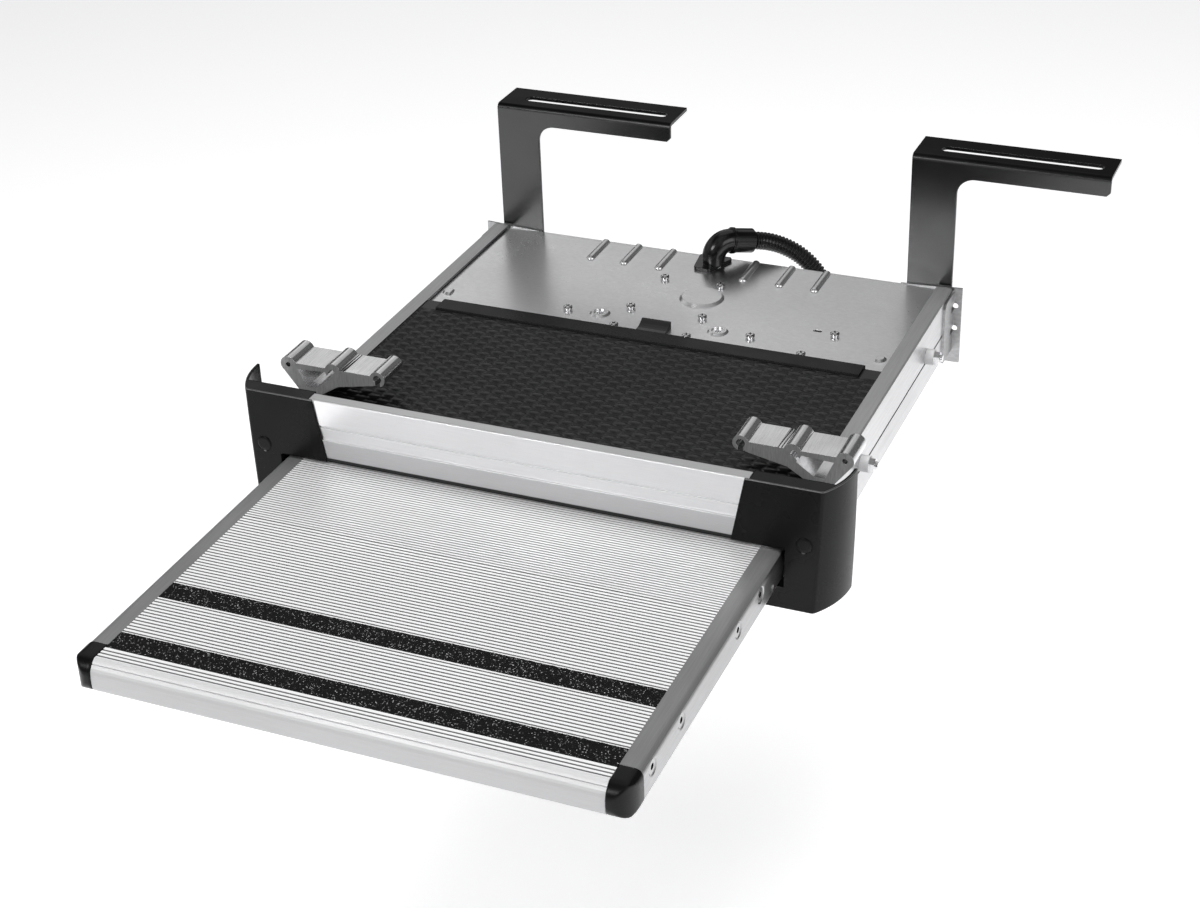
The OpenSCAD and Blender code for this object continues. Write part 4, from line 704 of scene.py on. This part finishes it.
SCREW_Z = at(0, 0, -8.5).z
ARM_X = (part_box("left_arm")[0].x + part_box("right_arm")[1].x) / 2
ARM_HALF = (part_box("right_arm")[1].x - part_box("left_arm")[0].x) / 2
STAR_R = 0.0027
STAR_FROM, STAR_FLOOR, STAR_END = 0.0009, 0.0024, 0.004
SPACER_LONG = 0.0072
SPACER_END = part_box("right_rail")[1].x + SPACER_LONG
PAN_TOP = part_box("plate_screws")[1].z
CROSS_FROM, CROSS_END = 0.0001, 0.0016
CROSS_WALL = 8e-6
UPRIGHT = 0.1


def in_star(face):
    """The star recess of an arm screw, at a depth below the arm's outer side, which takes painted
    shade.
    """
    deep = ARM_HALF - abs(face.center.x - ARM_X)
    return STAR_FROM < deep < STAR_END and abs(face.center.z - SCREW_Z) < STAR_R \
        and (abs(face.normal.x) > SQUARE or deep < STAR_FLOOR)


def in_cross(face):
    """The cross recess of a pan head: its floor and its small walls, which take painted shade."""
    return PAN_TOP - CROSS_END < face.center.z < PAN_TOP - CROSS_FROM \
        and (face.normal.z > SQUARE or face.area < CROSS_WALL and abs(face.normal.z) < UPRIGHT)


refinished("arm_heads", "arm_screws", "tread", [screw_head, recess], in_star)
refinished("rail_bolt_heads", "rail_bolts", "housing", [fastener, spacer],
           lambda face: face.center.x < SPACER_END)
refinished("plate_heads", "plate_screws", "housing", [fastener, recess],
           in_cross)


# Nose caps with soft edges, made from their solids

CAP_VOXEL = 0.0006
CAP_ROUNDS = 14


def softened_cap(side):
    node = side + "_nose_cap"
    cap = linked(side + "_cap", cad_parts[node].data.copy())
    remesh = cap.modifiers.new("remesh", "REMESH")
    remesh.mode = "VOXEL"
    remesh.voxel_size = CAP_VOXEL
    relax = cap.modifiers.new("relax", "SMOOTH")
    relax.factor = 0.5
    relax.iterations = CAP_ROUNDS
    apply_modifiers(cap).shade_smooth()
    put(cap, "tread", [smooth], node)


for side in SIDES:
    softened_cap(side)


# End covers with rounded outer edges, a painted highlight on the top edge, their side tucked in
# towards its foot

CORNER, CORNER_STEPS = 0.0014, 5
TOP_EDGE, TOP_EDGE_STEPS = 0.0009, 3
MERGE = 1e-6
FLAT = math.radians(1)
SHARP = math.radians(40)
FACING_FRONT = 0.97
FRONT_AREA = 0.0005
FACING_OUT = 0.1
WALL_FROM = 0.03
FACING_UP = 0.95
NEARLY_UPRIGHT = 0.2
TURNED_FORWARD = 0.5
LEVELS = 10
TUCK = 0.002
TUCK_FROM = 0.03


def bevel(bm, width, steps, index, picks):
    """Round the edges between two faces that picks() takes, with the material of that index."""
    edges = [e for e in bm.edges if len(e.link_faces) == 2
             and (picks(*e.link_faces) or picks(*reversed(e.link_faces)))]
    bmesh.ops.bevel(bm, geom=edges, offset=width, offset_type="OFFSET", segments=steps,
                    profile=0.5, affect="EDGES", clamp_overlap=False, material=index)
    bm.normal_update()


def rounded_cover(side, sign):
    node = side + "_end_cover"
    bm = bmesh.new()
    bm.from_mesh(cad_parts[node].data)
    bmesh.ops.remove_doubles(bm, verts=bm.verts, dist=MERGE)
    bmesh.ops.dissolve_limit(bm, angle_limit=FLAT, verts=bm.verts, edges=bm.edges)
    bm.normal_update()
    low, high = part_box(node)
    outer = max(sign * low.x, sign * high.x)

    def front(face):
        return face.normal.y < -FACING_FRONT and face.calc_area() > FRONT_AREA

    def wall(face):
        return abs(face.normal.z) < UPRIGHT and face.normal.x * sign > FACING_OUT \
            and sign * face.calc_center_median().x > outer - WALL_FROM

    def at_top(upper, lower):
        return upper.normal.z > FACING_UP and abs(lower.normal.z) < NEARLY_UPRIGHT \
            and (lower.normal.y < -TURNED_FORWARD or wall(lower))

    bevel(bm, CORNER, CORNER_STEPS, 0, lambda a, b: front(a) and wall(b))
    # the top edge takes the second material, the painted highlight
    bevel(bm, TOP_EDGE, TOP_EDGE_STEPS, 1, at_top)
    for k in range(1, LEVELS):
        z = low.z + (high.z - low.z) * k / LEVELS
        bmesh.ops.bisect_plane(bm, geom=bm.verts[:] + bm.edges[:] + bm.faces[:], dist=MERGE,
                               plane_co=(0, 0, z), plane_no=(0, 0, 1))
    for v in bm.verts:
        near = min(max((sign * v.co.x - outer + TUCK_FROM) / TUCK_FROM, 0), 1)
        down = (high.z - v.co.z) / (high.z - low.z)
        v.co.x -= sign * TUCK * near * down ** 2
    data = bpy.data.meshes.new(side + "_cover")
    bm.to_mesh(data)
    bm.free()
    cover = linked(side + "_cover", data)
    data.shade_smooth()
    data.set_sharp_from_angle(angle=SHARP)
    cover.modifiers.new("normals", "WEIGHTED_NORMAL").keep_sharp = True
    made = apply_modifiers(cover)
    picked = [face.material_index for face in made.polygons]
    put(cover, "housing", [grained, edge_painted_highlight], node)
    made.polygons.foreach_set("material_index", picked)


for side in SIDES:
    rounded_cover(side, OUTWARD[side])


# Floor and light

FLOOR_Z = -0.62
FLOOR_HALF = 30.0
FLOOR_LIFT = 0.5
LIGHT_LEVEL = 0.6
CLEAR_RAYS = ("Is Camera Ray", "Is Transmission Ray")
VIEW_RAYS = ("Is Camera Ray", "Is Glossy Ray", "Is Transmission Ray")


def any_ray(tree, names):
    """One for the rays of these kinds, and nothing for the others."""
    rays = tree.nodes.new("ShaderNodeLightPath")
    value = rays.outputs[names[0]]
    for name in names[1:]:
        value = add_node(tree, "ShaderNodeMath", {0: value, 1: rays.outputs[name]},
                         operation="MAXIMUM").outputs[0]
    return value


def make_floor():
    """Pale paper, lifted for the rays that look at it and not for the light itself."""
    h = FLOOR_HALF
    floor = mesh_object("floor", [(-h, -h, FLOOR_Z), (h, -h, FLOOR_Z), (h, h, FLOOR_Z),
                                  (-h, h, FLOOR_Z)], [(0, 1, 2, 3)])
    m = Maker("floor_paper")
    m.link(m.blend(m.noise(scale=3, detail=2), grey(0.93), grey(0.95)), "Base Color")
    m.link(m.maths("MULTIPLY", any_ray(m.tree, VIEW_RAYS), FLOOR_LIFT), "Emission Strength")
    m.set(Roughness=0.9, Specular_IOR_Level=0.1, Emission_Color=(1, 1, 1, 1))
    floor.data.materials.append(m.material)


# Soft fields of light around the object: direction (degrees from +X, and up), full within
# the core, gone at the reach, level
AMBIENT = 0.03
FIELDS = [
    (112, 52, 27, 31.5, 0.5), (113, 26, 4, 12, 0.2), (121, 24, 3, 10, 0.25),
    (110, 85, 3, 26, 0.2), (160, 29, 3, 25, 0.4), (60, 22, 3, 25, 0.1),
    (246, 62, 3, 26, 0.24), (300, 62, 3, 26, 0.3), (246, 35, 3, 20, 0.4),
    (290, 35, 3, 20, 0.34), (268, 8, 3, 25, 0.38), (0, 15, 3, 35, 0.36),
    (330, 20, 3, 35, 0.3), (185, 20, 3, 30, 0.37), (215, 20, 3, 30, 0.33),
]


def make_world():
    """White to the camera and through glass. Gloss shows the fields, and the same fields,
    dimmer, light the object."""
    world = bpy.data.worlds.new("studio")
    bpy.context.scene.world = world
    world.use_nodes = True
    tree = world.node_tree
    tree.nodes.clear()
    out = tree.nodes.new("ShaderNodeOutputWorld")
    back = tree.nodes.new("ShaderNodeBackground")
    tree.links.new(back.outputs[0], out.inputs[0])
    coords = tree.nodes.new("ShaderNodeTexCoord")
    way = add_node(tree, "ShaderNodeVectorMath", {0: coords.outputs["Generated"]},
                   operation="NORMALIZE").outputs[0]
    total = AMBIENT
    for azimuth, elevation, core, reach, level in FIELDS:
        a, e = math.radians(azimuth), math.radians(elevation)
        middle = (math.cos(a) * math.cos(e), math.sin(a) * math.cos(e), math.sin(e))
        near = add_node(tree, "ShaderNodeVectorMath", {0: way, 1: middle},
                        operation="DOT_PRODUCT").outputs["Value"]
        fade = add_node(tree, "ShaderNodeMapRange", {
            "Value": near, "From Min": math.cos(math.radians(reach)),
            "From Max": math.cos(math.radians(core)), "To Min": 0, "To Max": level,
        }, interpolation_type="SMOOTHSTEP").outputs[0]
        total = add_node(tree, "ShaderNodeMath", {0: fade, 1: total}, operation="ADD").outputs[0]
    seen = add_node(tree, "ShaderNodeMix", {
        "Factor": any_ray(tree, CLEAR_RAYS), MIX_A: total, MIX_B: (1, 1, 1, 1),
    }, data_type="RGBA").outputs[MIX_RESULT]
    strength = add_node(tree, "ShaderNodeMapRange", {
        "Value": any_ray(tree, VIEW_RAYS), "To Min": LIGHT_LEVEL, "To Max": 1.0}).outputs[0]
    tree.links.new(seen, back.inputs[0])
    tree.links.new(strength, back.inputs[1])


def soft_box(name, place, target, size, power, mirrored=True):
    light = bpy.data.lights.new(name, "AREA")
    light.shape = "RECTANGLE"
    light.size, light.size_y = size
    light.energy = power
    obj = linked(name, light)
    obj.location = place
    obj.rotation_euler = (Vector(target) - Vector(place)).to_track_quat("-Z", "Y").to_euler()
    obj.visible_glossy = mirrored


make_floor()
make_world()
soft_box("top_box", place=(0.1, -0.4, 2.2), target=(-0.05, -0.35, -0.1), size=(2.4, 1.6),
         power=54, mirrored=False)
soft_box("front_box", place=(-0.9, -2.3, 1.15), target=(-0.05, -0.3, -0.1), size=(0.95, 0.7),
         power=14)
soft_box("right_box", place=(2.0, -1.2, 0.9), target=(0, -0.35, -0.1), size=(1.4, 1.2),
         power=9.5)

bpy.context.scene.view_settings.view_transform = "Standard"
